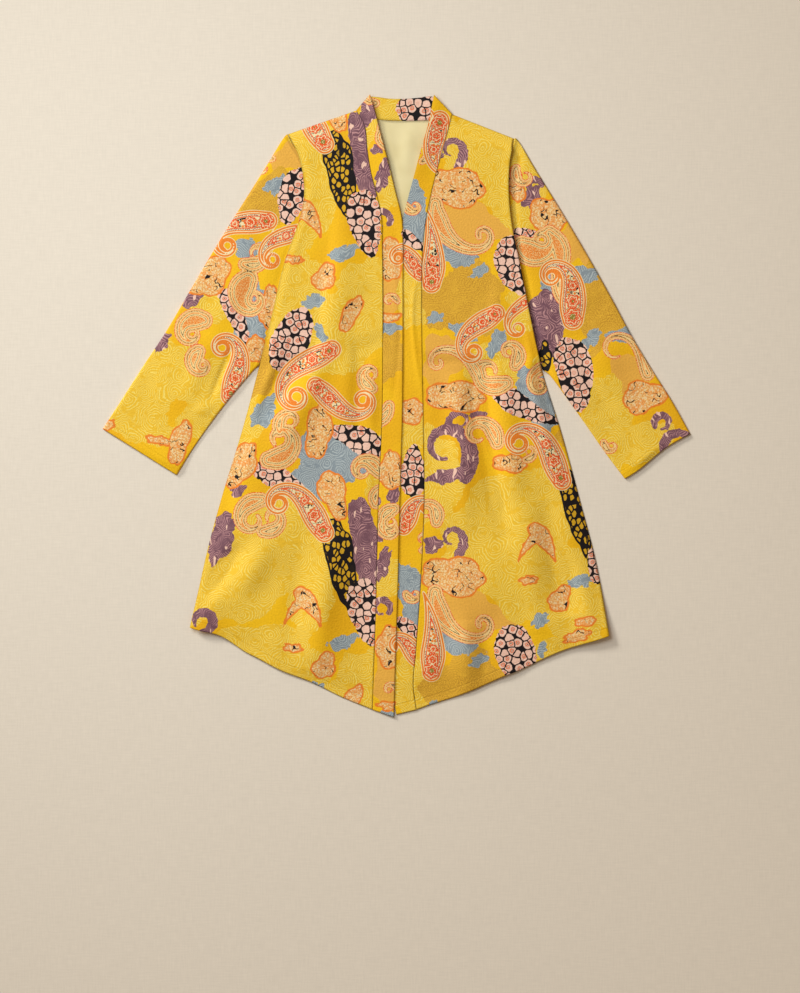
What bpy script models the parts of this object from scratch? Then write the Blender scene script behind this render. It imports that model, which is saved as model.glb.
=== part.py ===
"""Kebaya blouse: a long open-front blouse laid flat, its fronts lapped at the centre.

Metres, +Z up. The blouse lies on its back on the plane z = 0, neck towards +Y.
Left and right in the names are the wearer's, so the right half lies at -X.
Each piece that is cut and sewn is one object: a back, two fronts, two sleeves
that are flattened tubes, two front bands and the band of the back neck.
"""
import math

import bmesh
import bpy
import numpy as np

COLLECTION = "kebaya_blouse"
MM = 0.001

# Cloth
WALL = 1.2 * MM
BAND_WALL = 1.6 * MM
SEAM_GAP = 0.3 * MM

# Mesh density
BODY_ROWS = 41
FRONT_COLUMNS = 19
BACK_COLUMNS = 13
BAND_COLUMNS = 4
NECK_ROWS = 4
NECK_COLUMNS = 17
SLEEVE_ROWS = 20
SLEEVE_COLUMNS = 11
FOLD_STEPS = 24

# Heights of the lower faces above the plane or above the layer beneath
BACK_TO_FRONT = WALL + SEAM_GAP
FRONT_CROWN = 3.2 * MM
SEAM_LIFT = 1.1 * MM
NECK_LIFT = 2.3 * MM
HEM_LIFT = 0.4 * MM
ARMHOLE_LIFT = 3.3 * MM
LAPPED_LIFT = 0.3 * MM
LAPPING_LIFT = LAPPED_LIFT + BAND_WALL + SEAM_GAP
OPEN_LAPEL_LIFT = 3.4 * MM

# Distances over which the cloth rises from an edge
SIDE_ROLL = 34 * MM
ARMHOLE_ROLL = 16 * MM
SEAM_ROLL = 70 * MM
HEM_ROLL = 60 * MM
SHOULDER_ROLL = 45 * MM

# Shares of the length from hem to shoulder where the fronts part, and where they are open
LAPEL_START = 0.84
LAPEL_OPEN = 0.94

# Shares of the length over which the front's edge climbs from the side seam to the armhole
ARMHOLE_LEAD = 0.012
ARMHOLE_BLEND = 0.035

# Share of the shoulder, next to the neck, that the neck band lifts
NECK_SHARE = 0.3

# Back panel
BACK_INSET = 1.5 * MM
BACK_HEM_DIP = 60 * MM
TUCK_LEAD = 0.03
TUCK_BLEND = 0.05
DROP_START = 18 * MM
DROP_END = 52 * MM

# Sleeves
SLEEVE_TUCK = 4.5 * MM
TUCK_ENDS = 0.05
TUCK_RISE = 0.12
ARMHOLE_POINTS = 88
SLEEVE_FOLD_FADE = 0.2
SLEEVE_EDGE_POWER = 6
SLEEVE_BLEND_POWER = 2.5
SLEEVE_SECTIONS = (
    # place along the sleeve, full height in mm
    (0.00, 4.0),
    (0.20, 4.6),
    (0.55, 5.8),
    (0.85, 5.0),
    (1.00, 4.2),
)

# Sections of the two halves from hem to shoulder, in mm.
# side: side seam, then armhole. seam: where the band joins. free: the band's free edge.
HALF_COLUMNS = ("level", "side_x", "side_y", "seam_x", "seam_y", "free_x", "free_y")
RIGHT_HALF = (
    ("hem", -340, -365, -39, -501, -4, -513),
    ("low", -328, -312, -36, -411, -1, -412),
    ("flare", -314, -248, -33, -320, 2, -320),
    ("hip", -286, -144, -29, -155, 6, -155),
    ("waist", -253, -36, -23, -15, 10, -13),
    ("underarm", -226, 66, -22, 109, 11, 112),
    ("chest", -205, 150, -22, 191, 11, 195),
    ("across", -184, 238, -23, 266, 11, 273),
    ("armhole", -161, 304, -25, 315, 8, 316),
    ("mid_armhole", -152, 346, -33, 351, -1, 352),
    ("yoke", -154, 382, -42, 386, -10, 388),
    ("high", -162, 414, -48, 426, -20, 427),
    ("collar", -170, 432, -52, 462, -30, 465),
    ("shoulder", -179, 448, -66, 487, -43, 513),
)
LEFT_HALF = (
    ("hem", 351, -379, 33, -501, 0, -509),
    ("kick", 347, -355, 28, -462, -8, -468),
    ("low", 341, -318, 32, -408, -7, -411),
    ("flare", 331, -264, 39, -312, -2, -313),
    ("hip", 302, -152, 46, -163, 2, -160),
    ("waist", 273, -46, 45, -43, 5, -36),
    ("underarm", 240, 60, 43, 73, 6, 82),
    ("chest", 221, 145, 42, 167, 6, 175),
    ("across", 204, 231, 43, 244, 6, 261),
    ("armhole", 191, 294, 48, 300, 10, 305),
    ("mid_armhole", 186, 335, 56, 342, 20, 345),
    ("yoke", 185, 370, 65, 380, 31, 386),
    ("high", 187, 403, 75, 416, 42, 427),
    ("collar", 191, 424, 85, 452, 53, 466),
    ("shoulder", 194, 441, 92, 481, 62, 512),
)

# Sections of the sleeves from cuff to armhole, in mm
SLEEVE_COLUMNS_NAMED = ("level", "outer_x", "outer_y", "inner_x", "inner_y")
RIGHT_SLEEVE = (
    ("cuff", -484, -38, -362, -114),
    ("wrist", -451, 13, -335, -70),
    ("forearm", -415, 69, -304, -26),
    ("elbow", -378, 125, -271, 17),
    ("biceps", -337, 195, -242, 51),
    ("upper", -293, 269, -233, 61),
    ("high", -248, 341, -229, 64),
    ("shoulder", -179, 448, -226, 66),
)
LEFT_SLEEVE = (
    ("cuff", 484, -45, 376, -119),
    ("wrist", 455, 7, 345, -78),
    ("forearm", 422, 59, 315, -35),
    ("elbow", 387, 117, 283, 10),
    ("biceps", 351, 184, 254, 49),
    ("upper", 308, 260, 246, 56),
    ("high", 265, 332, 243, 58),
    ("shoulder", 194, 441, 240, 60),
)

# Back neck from the wearer's right to left, in mm. lower: on the back panel. upper: free.
NECK_COLUMNS_NAMED = ("place", "lower_x", "lower_y", "upper_x", "upper_y")
BACK_NECK = (
    ("right_fold", -61, 482, -42, 510),
    ("right", -49, 475, -30, 509),
    ("right_slope", -30, 472, -17, 507),
    ("centre", 11, 470, 9, 506),
    ("left_slope", 50, 471, 37, 508),
    ("left", 72, 473, 50, 510),
    ("left_fold", 86, 477, 60, 510),
)
NECK_OVERLAP = 3 * MM
NECK_BAND_CURL = 1.0 * MM

# Waves of the hems, in mm: how far the middle of each stretch leaves the straight line
RIGHT_HEM_WAVES = (4.0, 1.5)
LEFT_HEM_WAVES = (-5.0, 3.5)

# Largest folds, in mm, each through three points. height below zero is a trough.
FOLD_COLUMNS = ("name", "x0", "y0", "x1", "y1", "x2", "y2", "half_width", "height")
FRONT_FOLDS = (
    ("right_chest_fall", -121, 330, -139, 190, -152, 90, 20, -1.6),
    ("right_waist_drag", -148, 112, -188, 40, -234, -36, 17, -2.4),
    ("right_waist_roll", -122, 96, -160, 30, -205, -50, 20, 1.6),
    ("right_hip_drag", -251, -228, -286, -270, -318, -318, 15, -1.8),
    ("right_hip_roll", -208, -215, -232, -262, -262, -312, 22, 1.8),
    ("right_corner_lift", -339, -362, -322, -352, -305, -340, 26, 3.5),
    ("right_skirt_fall", -110, -250, -122, -340, -131, -430, 24, 1.2),
    ("left_waist_fall", 138, 96, 146, -40, 180, -210, 17, -2.2),
    ("left_waist_roll", 172, 80, 182, -40, 214, -200, 22, 1.7),
    ("left_hem_fall", 80, -380, 80, -430, 81, -486, 13, -1.5),
    ("left_hem_roll", 110, -370, 113, -420, 118, -472, 15, 1.5),
    ("left_hem_fall_2", 146, -380, 150, -415, 157, -450, 13, -1.3),
    ("left_corner_lift", 350, -376, 335, -368, 315, -360, 24, 1.6),
    ("left_side_roll", 216, 140, 232, 40, 268, -90, 16, 2.2),
)
SLEEVE_FOLDS = (
    ("right_elbow_crease", -269, 97, -288, 55, -306, 11, 9, -1.4),
    ("right_inner_fold", -327, -17, -318, -6, -303, -10, 12, 1.5),
    ("right_upper_roll", -250, 250, -272, 180, -292, 120, 22, 1.4),
    ("left_elbow_crease", 290, 110, 312, 62, 340, 10, 10, -1.2),
    ("left_upper_roll", 262, 240, 290, 170, 322, 110, 22, 1.4),
    ("left_cuff_lift", 396, -100, 420, -86, 440, -74, 18, 1.6),
)
FRONT_FLOOR = 0.1 * MM
LEAST_CROWN = 0.9

# Colours, linear, and roughness
GOLD = (0.86, 0.47, 0.03)
GOLD_DEEP = (0.78, 0.41, 0.03)
APRICOT = (0.80, 0.42, 0.12)
PALE_REVERSE = (0.80, 0.70, 0.36)
CLOTH_ROUGHNESS = 0.72


def column(table, names, wanted):
    """Return one pair of named columns of a table as points in metres."""
    places = [names.index(name) for name in wanted]
    return np.array([[row[place] * MM for place in places] for row in table])


def smooth_run(points, knots, count):
    """Sample a smooth curve through points at evenly spaced values of its knots."""
    slopes = np.gradient(points, knots, axis=0)
    wanted = np.linspace(knots[0], knots[-1], count)
    spans = np.clip(np.searchsorted(knots, wanted, side="right") - 1, 0, len(knots) - 2)
    length = (knots[spans + 1] - knots[spans])[:, None]
    t = (wanted - knots[spans])[:, None] / length
    start, end = points[spans], points[spans + 1]
    leave, arrive = slopes[spans] * length, slopes[spans + 1] * length
    return (
        start * (2 * t**3 - 3 * t**2 + 1)
        + leave * (t**3 - 2 * t**2 + t)
        + end * (3 * t**2 - 2 * t**3)
        + arrive * (t**3 - t**2)
    )


def shared_knots(*runs):
    """Return knots by the mean distance between the rows of several point runs."""
    steps = sum(np.linalg.norm(np.diff(run, axis=0), axis=1) for run in runs)
    return np.concatenate([[0.0], np.cumsum(steps)]) / len(runs)


def straight(start, end, count):
    """Return evenly spaced points from start to end."""
    t = np.linspace(0, 1, count)[:, None]
    return np.asarray(start) * (1 - t) + np.asarray(end) * t


def four_edged(first, second, bottom, top, fade=1.0):
    """Fill a sheet between two long edges and two cross edges."""
    rows, columns = len(first), len(bottom)
    u = np.linspace(0, 1, rows)[:, None, None]
    v = np.linspace(0, 1, columns)[None, :, None]
    sheet = first[:, None] * (1 - v) + second[:, None] * v
    low_bow = bottom - straight(bottom[0], bottom[-1], columns)
    top_bow = top - straight(top[0], top[-1], columns)
    return sheet + low_bow[None] * (1 - u) ** fade + top_bow[None] * u**fade


def ramp(distance, reach):
    """Rise smoothly from 0 at an edge to 1 at reach."""
    t = np.clip(distance / reach, 0, 1)
    return t * t * (3 - 2 * t)


def fold_relief(plan, folds):
    """Add up the soft folds at each point of a plan."""
    relief = np.zeros(plan.shape[:2])
    for row in folds:
        fold = dict(zip(FOLD_COLUMNS, row))
        t = np.linspace(0, 1, FOLD_STEPS)[:, None]
        start = np.array([fold["x0"], fold["y0"]]) * MM
        middle = np.array([fold["x1"], fold["y1"]]) * MM
        end = np.array([fold["x2"], fold["y2"]]) * MM
        bend = 2 * middle - (start + end) / 2
        line = start * (1 - t) ** 2 + bend * 2 * t * (1 - t) + end * t**2
        reach = np.linalg.norm(plan[:, :, None] - line[None, None], axis=3)
        nearest = reach.argmin(axis=2)
        fade = np.sqrt(np.sin(math.pi * (nearest + 0.5) / FOLD_STEPS))
        spread = reach.min(axis=2) / (fold["half_width"] * MM)
        relief += fold["height"] * MM * fade * np.exp(-(spread**2))
    return relief


def back_hem(count):
    """Return the back panel's hem from the right corner to the left one."""
    right = np.array(RIGHT_HALF[0][1:3]) * MM + [BACK_INSET, 0]
    left = np.array(LEFT_HALF[0][1:3]) * MM - [BACK_INSET, 0]
    line = straight(right, left, count)
    v = np.linspace(0, 1, count)
    line[:, 1] -= BACK_HEM_DIP * 4 * v * (1 - v)
    return line


def support(plan):
    """Height of what the fronts lie on: the back panel, then the plane past its hem."""
    hem = back_hem(BODY_ROWS)
    past_hem = np.interp(plan[..., 0], hem[:, 0], hem[:, 1]) - plan[..., 1]
    return BACK_TO_FRONT * (1 - ramp(past_hem - DROP_START, DROP_END - DROP_START))


def half_edges(table):
    """Return the side, seam and free edges of one half, and its armhole's share of the side."""
    side = column(table, HALF_COLUMNS, ("side_x", "side_y"))
    seam = column(table, HALF_COLUMNS, ("seam_x", "seam_y"))
    free = column(table, HALF_COLUMNS, ("free_x", "free_y"))
    knots = shared_knots(side, seam)
    levels = [row[0] for row in table]
    underarm = knots[levels.index("underarm")] / knots[-1]
    runs = [smooth_run(run, knots, BODY_ROWS) for run in (side, seam, free)]
    return (*runs, underarm)


def armhole_run(table, count):
    """Return the armhole from shoulder tip to underarm."""
    side = column(table, HALF_COLUMNS, ("side_x", "side_y"))
    seam = column(table, HALF_COLUMNS, ("seam_x", "seam_y"))
    knots = shared_knots(side, seam)
    first = [row[0] for row in table].index("underarm")
    fine = smooth_run(side, knots, 40 * BODY_ROWS)
    start = int(round(knots[first] / knots[-1] * (len(fine) - 1)))
    arm = fine[start:][::-1]
    picks = np.linspace(0, len(arm) - 1, count).round().astype(int)
    return arm[picks]


def waved_hem(start, end, count, waves):
    """Return a hem that leaves the straight line by a given amount in each stretch."""
    line = straight(start, end, count)
    v = np.linspace(0, 1, count)
    stretches = len(waves)
    for place, wave in enumerate(waves):
        within = np.clip(v * stretches - place, 0, 1)
        line[:, 1] -= wave * MM * np.sin(math.pi * within) ** 2
    return line


def cloth_object(name, plan, lower, wall, colour):
    """Make a sheet from a grid laid on a plan, and thicken it upwards."""
    rows, columns = lower.shape
    mesh = bpy.data.meshes.new(name)
    bm = bmesh.new()
    bmesh.ops.create_grid(bm, x_segments=columns - 1, y_segments=rows - 1, size=0.5)
    for vert in bm.verts:
        i = round((vert.co.y + 0.5) * (rows - 1))
        j = round((vert.co.x + 0.5) * (columns - 1))
        vert.co = (*plan[i, j], lower[i, j])
    bm.normal_update()
    if sum(face.normal.z for face in bm.faces) < 0:
        bmesh.ops.reverse_faces(bm, faces=bm.faces)
    bm.to_mesh(mesh)
    bm.free()
    piece = finished_object(name, mesh, colour)
    shell = piece.modifiers.new("Cloth wall", "SOLIDIFY")
    shell.thickness = wall
    shell.offset = 1.0
    shell.use_even_offset = True
    return piece


def tube_object(name, outer, inner, colour):
    """Make a tube from two grids of rings, outside and inside, joined at both rims."""
    rings = np.concatenate([outer, inner[::-1], outer[:1]])
    rings = np.concatenate([rings, rings[:, :1]], axis=1)
    rows, columns = rings.shape[:2]
    mesh = bpy.data.meshes.new(name)
    bm = bmesh.new()
    bmesh.ops.create_grid(bm, x_segments=columns - 1, y_segments=rows - 1, size=0.5)
    for vert in bm.verts:
        i = round((vert.co.y + 0.5) * (rows - 1))
        j = round((vert.co.x + 0.5) * (columns - 1))
        vert.co = rings[i, j]
    bmesh.ops.remove_doubles(bm, verts=bm.verts, dist=0.01 * MM)
    bmesh.ops.recalc_face_normals(bm, faces=bm.faces)
    bm.to_mesh(mesh)
    bm.free()
    return finished_object(name, mesh, colour)


def finished_object(name, mesh, colour):
    """Put a mesh in the blouse's collection with a cloth material of its own."""
    material = bpy.data.materials.new(name + "_cloth")
    material.use_nodes = True
    shader = material.node_tree.nodes["Principled BSDF"]
    shader.inputs["Base Color"].default_value = (*colour, 1.0)
    shader.inputs["Roughness"].default_value = CLOTH_ROUGHNESS
    shader.inputs["Metallic"].default_value = 0.0
    mesh.materials.append(material)
    mesh.shade_smooth()
    piece = bpy.data.objects.new(name, mesh)
    bpy.data.collections[COLLECTION].objects.link(piece)
    return piece


def seam_lift(rows):
    """Height of the band seam over its support, higher where the band turns over the neck."""
    u = np.linspace(0, 1, rows)
    return SEAM_LIFT + (NECK_LIFT - SEAM_LIFT) * ramp(u - LAPEL_START, LAPEL_OPEN - LAPEL_START)


def make_front(name, table, waves, colour):
    """Make one front from side seam and armhole to the band seam."""
    side, seam, _, underarm = half_edges(table)
    inwards = math.copysign(SEAM_GAP, side[0, 0])
    seam = seam + [inwards, 0]
    hem = waved_hem(side[0], seam[0], FRONT_COLUMNS, waves)
    shoulder = straight(side[-1], seam[-1], FRONT_COLUMNS)
    plan = four_edged(side, seam, hem, shoulder)

    u = np.linspace(0, 1, BODY_ROWS)[:, None]
    from_side = np.linalg.norm(plan - plan[:, :1], axis=2)
    from_seam = np.linalg.norm(plan - plan[:, -1:], axis=2)
    from_hem = np.linalg.norm(plan - plan[:1], axis=2)
    from_shoulder = np.linalg.norm(plan - plan[-1:], axis=2)
    at_seam = seam_lift(BODY_ROWS)[:, None]
    crown = at_seam + (FRONT_CROWN - at_seam) * ramp(from_seam, SEAM_ROLL)
    crown = HEM_LIFT + (crown - HEM_LIFT) * ramp(from_hem, HEM_ROLL)
    from_neck = np.linspace(1, 0, FRONT_COLUMNS)[None]
    near_neck = ramp(NECK_SHARE - from_neck, NECK_SHARE)
    at_shoulder = at_seam * near_neck
    crown = at_shoulder + (crown - at_shoulder) * ramp(from_shoulder, SHOULDER_ROLL)
    crown = crown + fold_relief(plan, FRONT_FOLDS)

    on_armhole = ramp(u - underarm + ARMHOLE_LEAD, ARMHOLE_BLEND) * ramp(1 - u, ARMHOLE_BLEND)
    at_side = ARMHOLE_LIFT * on_armhole
    roll = SIDE_ROLL + (ARMHOLE_ROLL - SIDE_ROLL) * on_armhole
    held = ramp(from_side, roll)
    rise = at_side + (np.maximum(crown, at_side * LEAST_CROWN) - at_side) * held
    lower = support(plan) + np.maximum(rise, 0) + FRONT_FLOOR * held
    return cloth_object(name, plan, lower, WALL, colour)


def make_band(name, table, lapping, colour):
    """Make one front band from its seam to its free edge."""
    _, seam, free, _ = half_edges(table)
    hem = straight(seam[0], free[0], BAND_COLUMNS)
    neck = straight(seam[-1], free[-1], BAND_COLUMNS)
    plan = four_edged(seam, free, hem, neck)
    u = np.linspace(0, 1, BODY_ROWS)[:, None]
    v = np.linspace(0, 1, BAND_COLUMNS)[None]
    at_seam = seam_lift(BODY_ROWS)[:, None]
    resting = LAPPING_LIFT + SEAM_GAP if lapping else LAPPED_LIFT
    opened = ramp(u - LAPEL_START, LAPEL_OPEN - LAPEL_START)
    at_free = resting + (OPEN_LAPEL_LIFT - resting) * opened
    lower = support(plan) + at_seam + (at_free - at_seam) * ramp(v, 1)
    return cloth_object(name, plan, lower, BAND_WALL, colour)


def make_back(table_right, table_left, colour):
    """Make the back, flat on the plane, between the sides and under the neck band."""
    right, _, _, right_underarm = half_edges(table_right)
    left, _, _, left_underarm = half_edges(table_left)
    u = np.linspace(0, 1, BODY_ROWS)
    for side, underarm, inwards in ((right, right_underarm, 1), (left, left_underarm, -1)):
        under_sleeve = ramp(u - underarm + TUCK_LEAD, TUCK_BLEND)
        tucked = under_sleeve * (SLEEVE_TUCK + 2 * SEAM_GAP)
        side[:, 0] += inwards * (BACK_INSET + tucked)
    lower_edge = column(BACK_NECK, NECK_COLUMNS_NAMED, ("lower_x", "lower_y"))
    neckline = lower_edge + [0, NECK_OVERLAP]
    shoulder_points = np.concatenate([[right[-1]], neckline, [left[-1]]])
    shoulder_points[0, 1] -= BACK_INSET
    shoulder_points[-1, 1] -= BACK_INSET
    right[-1] = shoulder_points[0]
    left[-1] = shoulder_points[-1]
    across = shared_knots(shoulder_points)
    wanted = np.linspace(0, across[-1], BACK_COLUMNS)
    top = np.stack([np.interp(wanted, across, shoulder_points[:, k]) for k in (0, 1)], axis=1)
    plan = four_edged(right, left, back_hem(BACK_COLUMNS), top)
    return cloth_object("back_panel", plan, np.zeros(plan.shape[:2]), WALL, colour)


def make_neck_band(colour):
    """Make the band of the back neck, lying on the back panel's neckline."""
    lower_edge = column(BACK_NECK, NECK_COLUMNS_NAMED, ("lower_x", "lower_y"))
    upper_edge = column(BACK_NECK, NECK_COLUMNS_NAMED, ("upper_x", "upper_y"))
    knots = shared_knots(lower_edge, upper_edge)
    lower_run = smooth_run(lower_edge, knots, NECK_COLUMNS)
    upper_run = smooth_run(upper_edge, knots, NECK_COLUMNS)
    start = straight(lower_run[0], upper_run[0], NECK_ROWS)
    end = straight(lower_run[-1], upper_run[-1], NECK_ROWS)
    plan = four_edged(start, end, lower_run, upper_run)
    v = np.linspace(0, 1, NECK_COLUMNS)[None]
    up = np.linspace(0, 1, NECK_ROWS)[:, None]
    clear_of_folds = np.sin(math.pi * v) ** 2
    lower = BACK_TO_FRONT + NECK_BAND_CURL * up * clear_of_folds
    return cloth_object("neck_band", plan, lower, BAND_WALL, colour)


def make_sleeve(name, table, body_table, colour):
    """Make one sleeve as a flattened tube, its head tucked under the front's edge."""
    outer = column(table, SLEEVE_COLUMNS_NAMED, ("outer_x", "outer_y"))
    inner = column(table, SLEEVE_COLUMNS_NAMED, ("inner_x", "inner_y"))
    knots = shared_knots(outer, inner)
    outer = smooth_run(outer, knots, SLEEVE_ROWS)
    inner = smooth_run(inner, knots, SLEEVE_ROWS)
    v = 0.5 - 0.5 * np.cos(math.pi * np.linspace(0, 1, SLEEVE_COLUMNS))
    fine = ARMHOLE_POINTS
    arm = armhole_run(body_table, fine)
    towards_body = math.copysign(1, -arm[0, 0])
    along = np.linspace(0, 1, fine)
    middle = ramp(along - TUCK_ENDS, TUCK_RISE) * ramp(1 - TUCK_ENDS - along, TUCK_RISE)
    tuck = SLEEVE_TUCK * middle - 2 * SEAM_GAP
    arm = arm + np.stack([towards_body * tuck, np.zeros(fine)], axis=1)
    head = np.stack([np.interp(v, along, arm[:, k]) for k in (0, 1)], axis=1)
    chord = head[0] * (1 - v[:, None]) + head[-1] * v[:, None]
    u = np.linspace(0, 1, SLEEVE_ROWS)
    shift = u[:, None, None] ** SLEEVE_BLEND_POWER
    outer_end = head[0] - outer[-1]
    inner_end = head[-1] - inner[-1]

    places, heights = np.array(SLEEVE_SECTIONS).T
    full = (np.interp(u, places, heights) * MM)[:, None]
    skins = []
    for inset in (0.0, WALL):
        width = np.linalg.norm(outer - inner, axis=1)[:, None]
        w = 0.5 + (v[None] - 0.5) * (1 - 2 * inset / width)
        flat = outer[:, None] * (1 - w[..., None]) + inner[:, None] * w[..., None]
        ends = outer_end * (1 - w[..., None]) + inner_end * w[..., None]
        plan = flat + shift * (ends + (head - chord)[None])
        round_off = (1 - np.abs(2 * v - 1) ** SLEEVE_EDGE_POWER) ** (1 / SLEEVE_EDGE_POWER)
        half = (full / 2 - inset) * round_off[None]
        fading = round_off[None] * ramp(1 - u, SLEEVE_FOLD_FADE)[:, None]
        relief = fold_relief(plan, SLEEVE_FOLDS) * fading
        upper = np.dstack([plan, full / 2 + half + relief])
        under = np.dstack([plan, full / 2 - half])
        skins.append(np.concatenate([upper, under[:, -2:0:-1]], axis=1))
    return tube_object(name, skins[0], skins[1], colour)


def main():
    """Clear the scene and make the eight pieces."""
    for old in list(bpy.data.objects):
        bpy.data.objects.remove(old, do_unlink=True)
    collection = bpy.data.collections.new(COLLECTION)
    bpy.context.scene.collection.children.link(collection)
    make_back(RIGHT_HALF, LEFT_HALF, PALE_REVERSE)
    make_sleeve("sleeve_right", RIGHT_SLEEVE, RIGHT_HALF, GOLD)
    make_sleeve("sleeve_left", LEFT_SLEEVE, LEFT_HALF, GOLD)
    make_neck_band(GOLD_DEEP)
    make_front("front_right", RIGHT_HALF, RIGHT_HEM_WAVES, GOLD)
    make_front("front_left", LEFT_HALF, LEFT_HEM_WAVES, GOLD)
    make_band("band_left", LEFT_HALF, False, GOLD_DEEP)
    make_band("band_right", RIGHT_HALF, True, APRICOT)


main()
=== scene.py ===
"""Kebaya blouse laid flat: its cloth, its print and the studio around it.

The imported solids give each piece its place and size. Every piece is replaced by a
thin shell on the same form, with finer folds, and the print is worked out here
from outlines and spines, kept on the cloth as distances to each kind of motif.
"""
import logging
import math
from dataclasses import dataclass, field
from enum import Enum
from typing import NamedTuple, Sequence

import bpy
import numpy as np
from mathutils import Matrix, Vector


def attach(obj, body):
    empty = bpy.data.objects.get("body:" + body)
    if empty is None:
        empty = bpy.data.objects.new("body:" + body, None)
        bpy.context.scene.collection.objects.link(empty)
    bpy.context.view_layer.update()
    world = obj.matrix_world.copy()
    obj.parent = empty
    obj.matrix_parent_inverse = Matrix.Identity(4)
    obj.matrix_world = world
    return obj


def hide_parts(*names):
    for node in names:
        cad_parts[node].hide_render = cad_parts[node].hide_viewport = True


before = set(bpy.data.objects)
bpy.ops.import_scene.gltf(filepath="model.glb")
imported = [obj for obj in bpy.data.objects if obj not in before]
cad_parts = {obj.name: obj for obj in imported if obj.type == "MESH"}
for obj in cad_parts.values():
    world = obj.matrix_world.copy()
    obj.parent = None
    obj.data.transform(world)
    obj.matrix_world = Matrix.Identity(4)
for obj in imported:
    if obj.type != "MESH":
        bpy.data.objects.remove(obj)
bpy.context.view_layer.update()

log = logging.getLogger("kebaya_blouse")

MM = 0.001
FOLD_STEPS = 28
Array = np.ndarray


def linear(red: int, green: int, blue: int) -> tuple[float, float, float, float]:
    """Turn a display colour into the linear one that shaders take.

    Args:
        red: Red from 0 to 255.
        green: Green from 0 to 255.
        blue: Blue from 0 to 255.

    Returns:
        Linear red, green, blue and an alpha of 1.
    """
    parts = [value / 255 for value in (red, green, blue)]
    low = [p / 12.92 if p <= 0.04045 else ((p + 0.055) / 1.055) ** 2.4 for p in parts]
    return (low[0], low[1], low[2], 1.0)


def ramp(distance: Array, reach: float) -> Array:
    """Rise smoothly from 0 at an edge to 1 at reach."""
    t = np.clip(distance / reach, 0, 1)
    return t * t * (3 - 2 * t)


def straight(start: Sequence[float], end: Sequence[float], count: int) -> Array:
    """Return evenly spaced points from start to end."""
    t = np.linspace(0, 1, count)[:, None]
    return np.asarray(start) * (1 - t) + np.asarray(end) * t


def smooth_run(points: Array, knots: Array, count: int) -> Array:
    """Sample a smooth curve through points at evenly spaced values of its knots."""
    slopes = np.gradient(points, knots, axis=0)
    wanted = np.linspace(knots[0], knots[-1], count)
    spans = np.clip(np.searchsorted(knots, wanted, side="right") - 1, 0, len(knots) - 2)
    length = (knots[spans + 1] - knots[spans])[:, None]
    t = (wanted - knots[spans])[:, None] / length
    start, end = points[spans], points[spans + 1]
    leave, arrive = slopes[spans] * length, slopes[spans + 1] * length
    return (
        start * (2 * t**3 - 3 * t**2 + 1)
        + leave * (t**3 - 2 * t**2 + t)
        + end * (3 * t**2 - 2 * t**3)
        + arrive * (t**3 - t**2)
    )


def shared_knots(*runs: Array) -> Array:
    """Return knots by the mean distance between the rows of several point runs."""
    steps = sum(np.linalg.norm(np.diff(run, axis=0), axis=1) for run in runs)
    return np.concatenate([[0.0], np.cumsum(steps)]) / len(runs)


def four_edged(first: Array, second: Array, bottom: Array, top: Array) -> Array:
    """Fill a sheet between two long edges and two cross edges."""
    rows, columns = len(first), len(bottom)
    u = np.linspace(0, 1, rows)[:, None, None]
    v = np.linspace(0, 1, columns)[None, :, None]
    sheet = first[:, None] * (1 - v) + second[:, None] * v
    low_bow = bottom - straight(bottom[0], bottom[-1], columns)
    top_bow = top - straight(top[0], top[-1], columns)
    return sheet + low_bow[None] * (1 - u) + top_bow[None] * u


def swells(plan: Array, wavelength: float, seed: int, waves: int = 14) -> Array:
    """Return gentle uneven waves over a plan, about -1 to 1.

    Args:
        plan: Points in metres, with x and y last.
        wavelength: The middle wavelength in metres.
        seed: Fixes the waves' directions and phases.
        waves: How many plane waves are added up.

    Returns:
        One height for each point.
    """
    rng = np.random.default_rng(seed)
    total = np.zeros(plan.shape[:-1])
    for _ in range(waves):
        angle, phase = rng.uniform(0, 2 * math.pi, 2)
        size = wavelength * rng.uniform(0.7, 1.5)
        along = plan[..., 0] * math.cos(angle) + plan[..., 1] * math.sin(angle)
        total += np.sin(2 * math.pi * along / size + phase)
    return total / math.sqrt(waves)


def uneven_wave(run: Array, wavelength: float, seed: int, waves: int = 5) -> Array:
    """Return an uneven ripple along a length, about -1 to 1."""
    rng = np.random.default_rng(seed)
    total = np.zeros_like(run)
    for _ in range(waves):
        size = wavelength * rng.uniform(0.6, 1.9)
        total += np.sin(2 * math.pi * run / size + rng.uniform(0, 2 * math.pi))
    usual_peak = 0.52 * waves
    return total / usual_peak


class Swell(NamedTuple):
    """The gentle unevenness of laid cloth: its wavelength and height in metres."""

    wavelength: float
    height: float

    def relief(self, plan: Array, seed: int) -> Array:
        """Return the swell's height at each point of a plan."""
        return self.height * swells(plan, self.wavelength, seed)


class Pucker(NamedTuple):
    """The ripple that stitches leave: its wavelength, its reach from the seam and its height in metres."""

    wavelength: float
    reach: float
    height: float

    def relief(self, run: Array, away: Array, seed: int) -> Array:
        """Return the ripple's height.

        Args:
            run: Each point's place along the seam.
            away: Each point's distance from the seam.
            seed: Fixes the ripple.

        Returns:
            One height for each point.
        """
        return uneven_wave(run, self.wavelength, seed) * np.exp(-away / self.reach) * self.height


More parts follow.
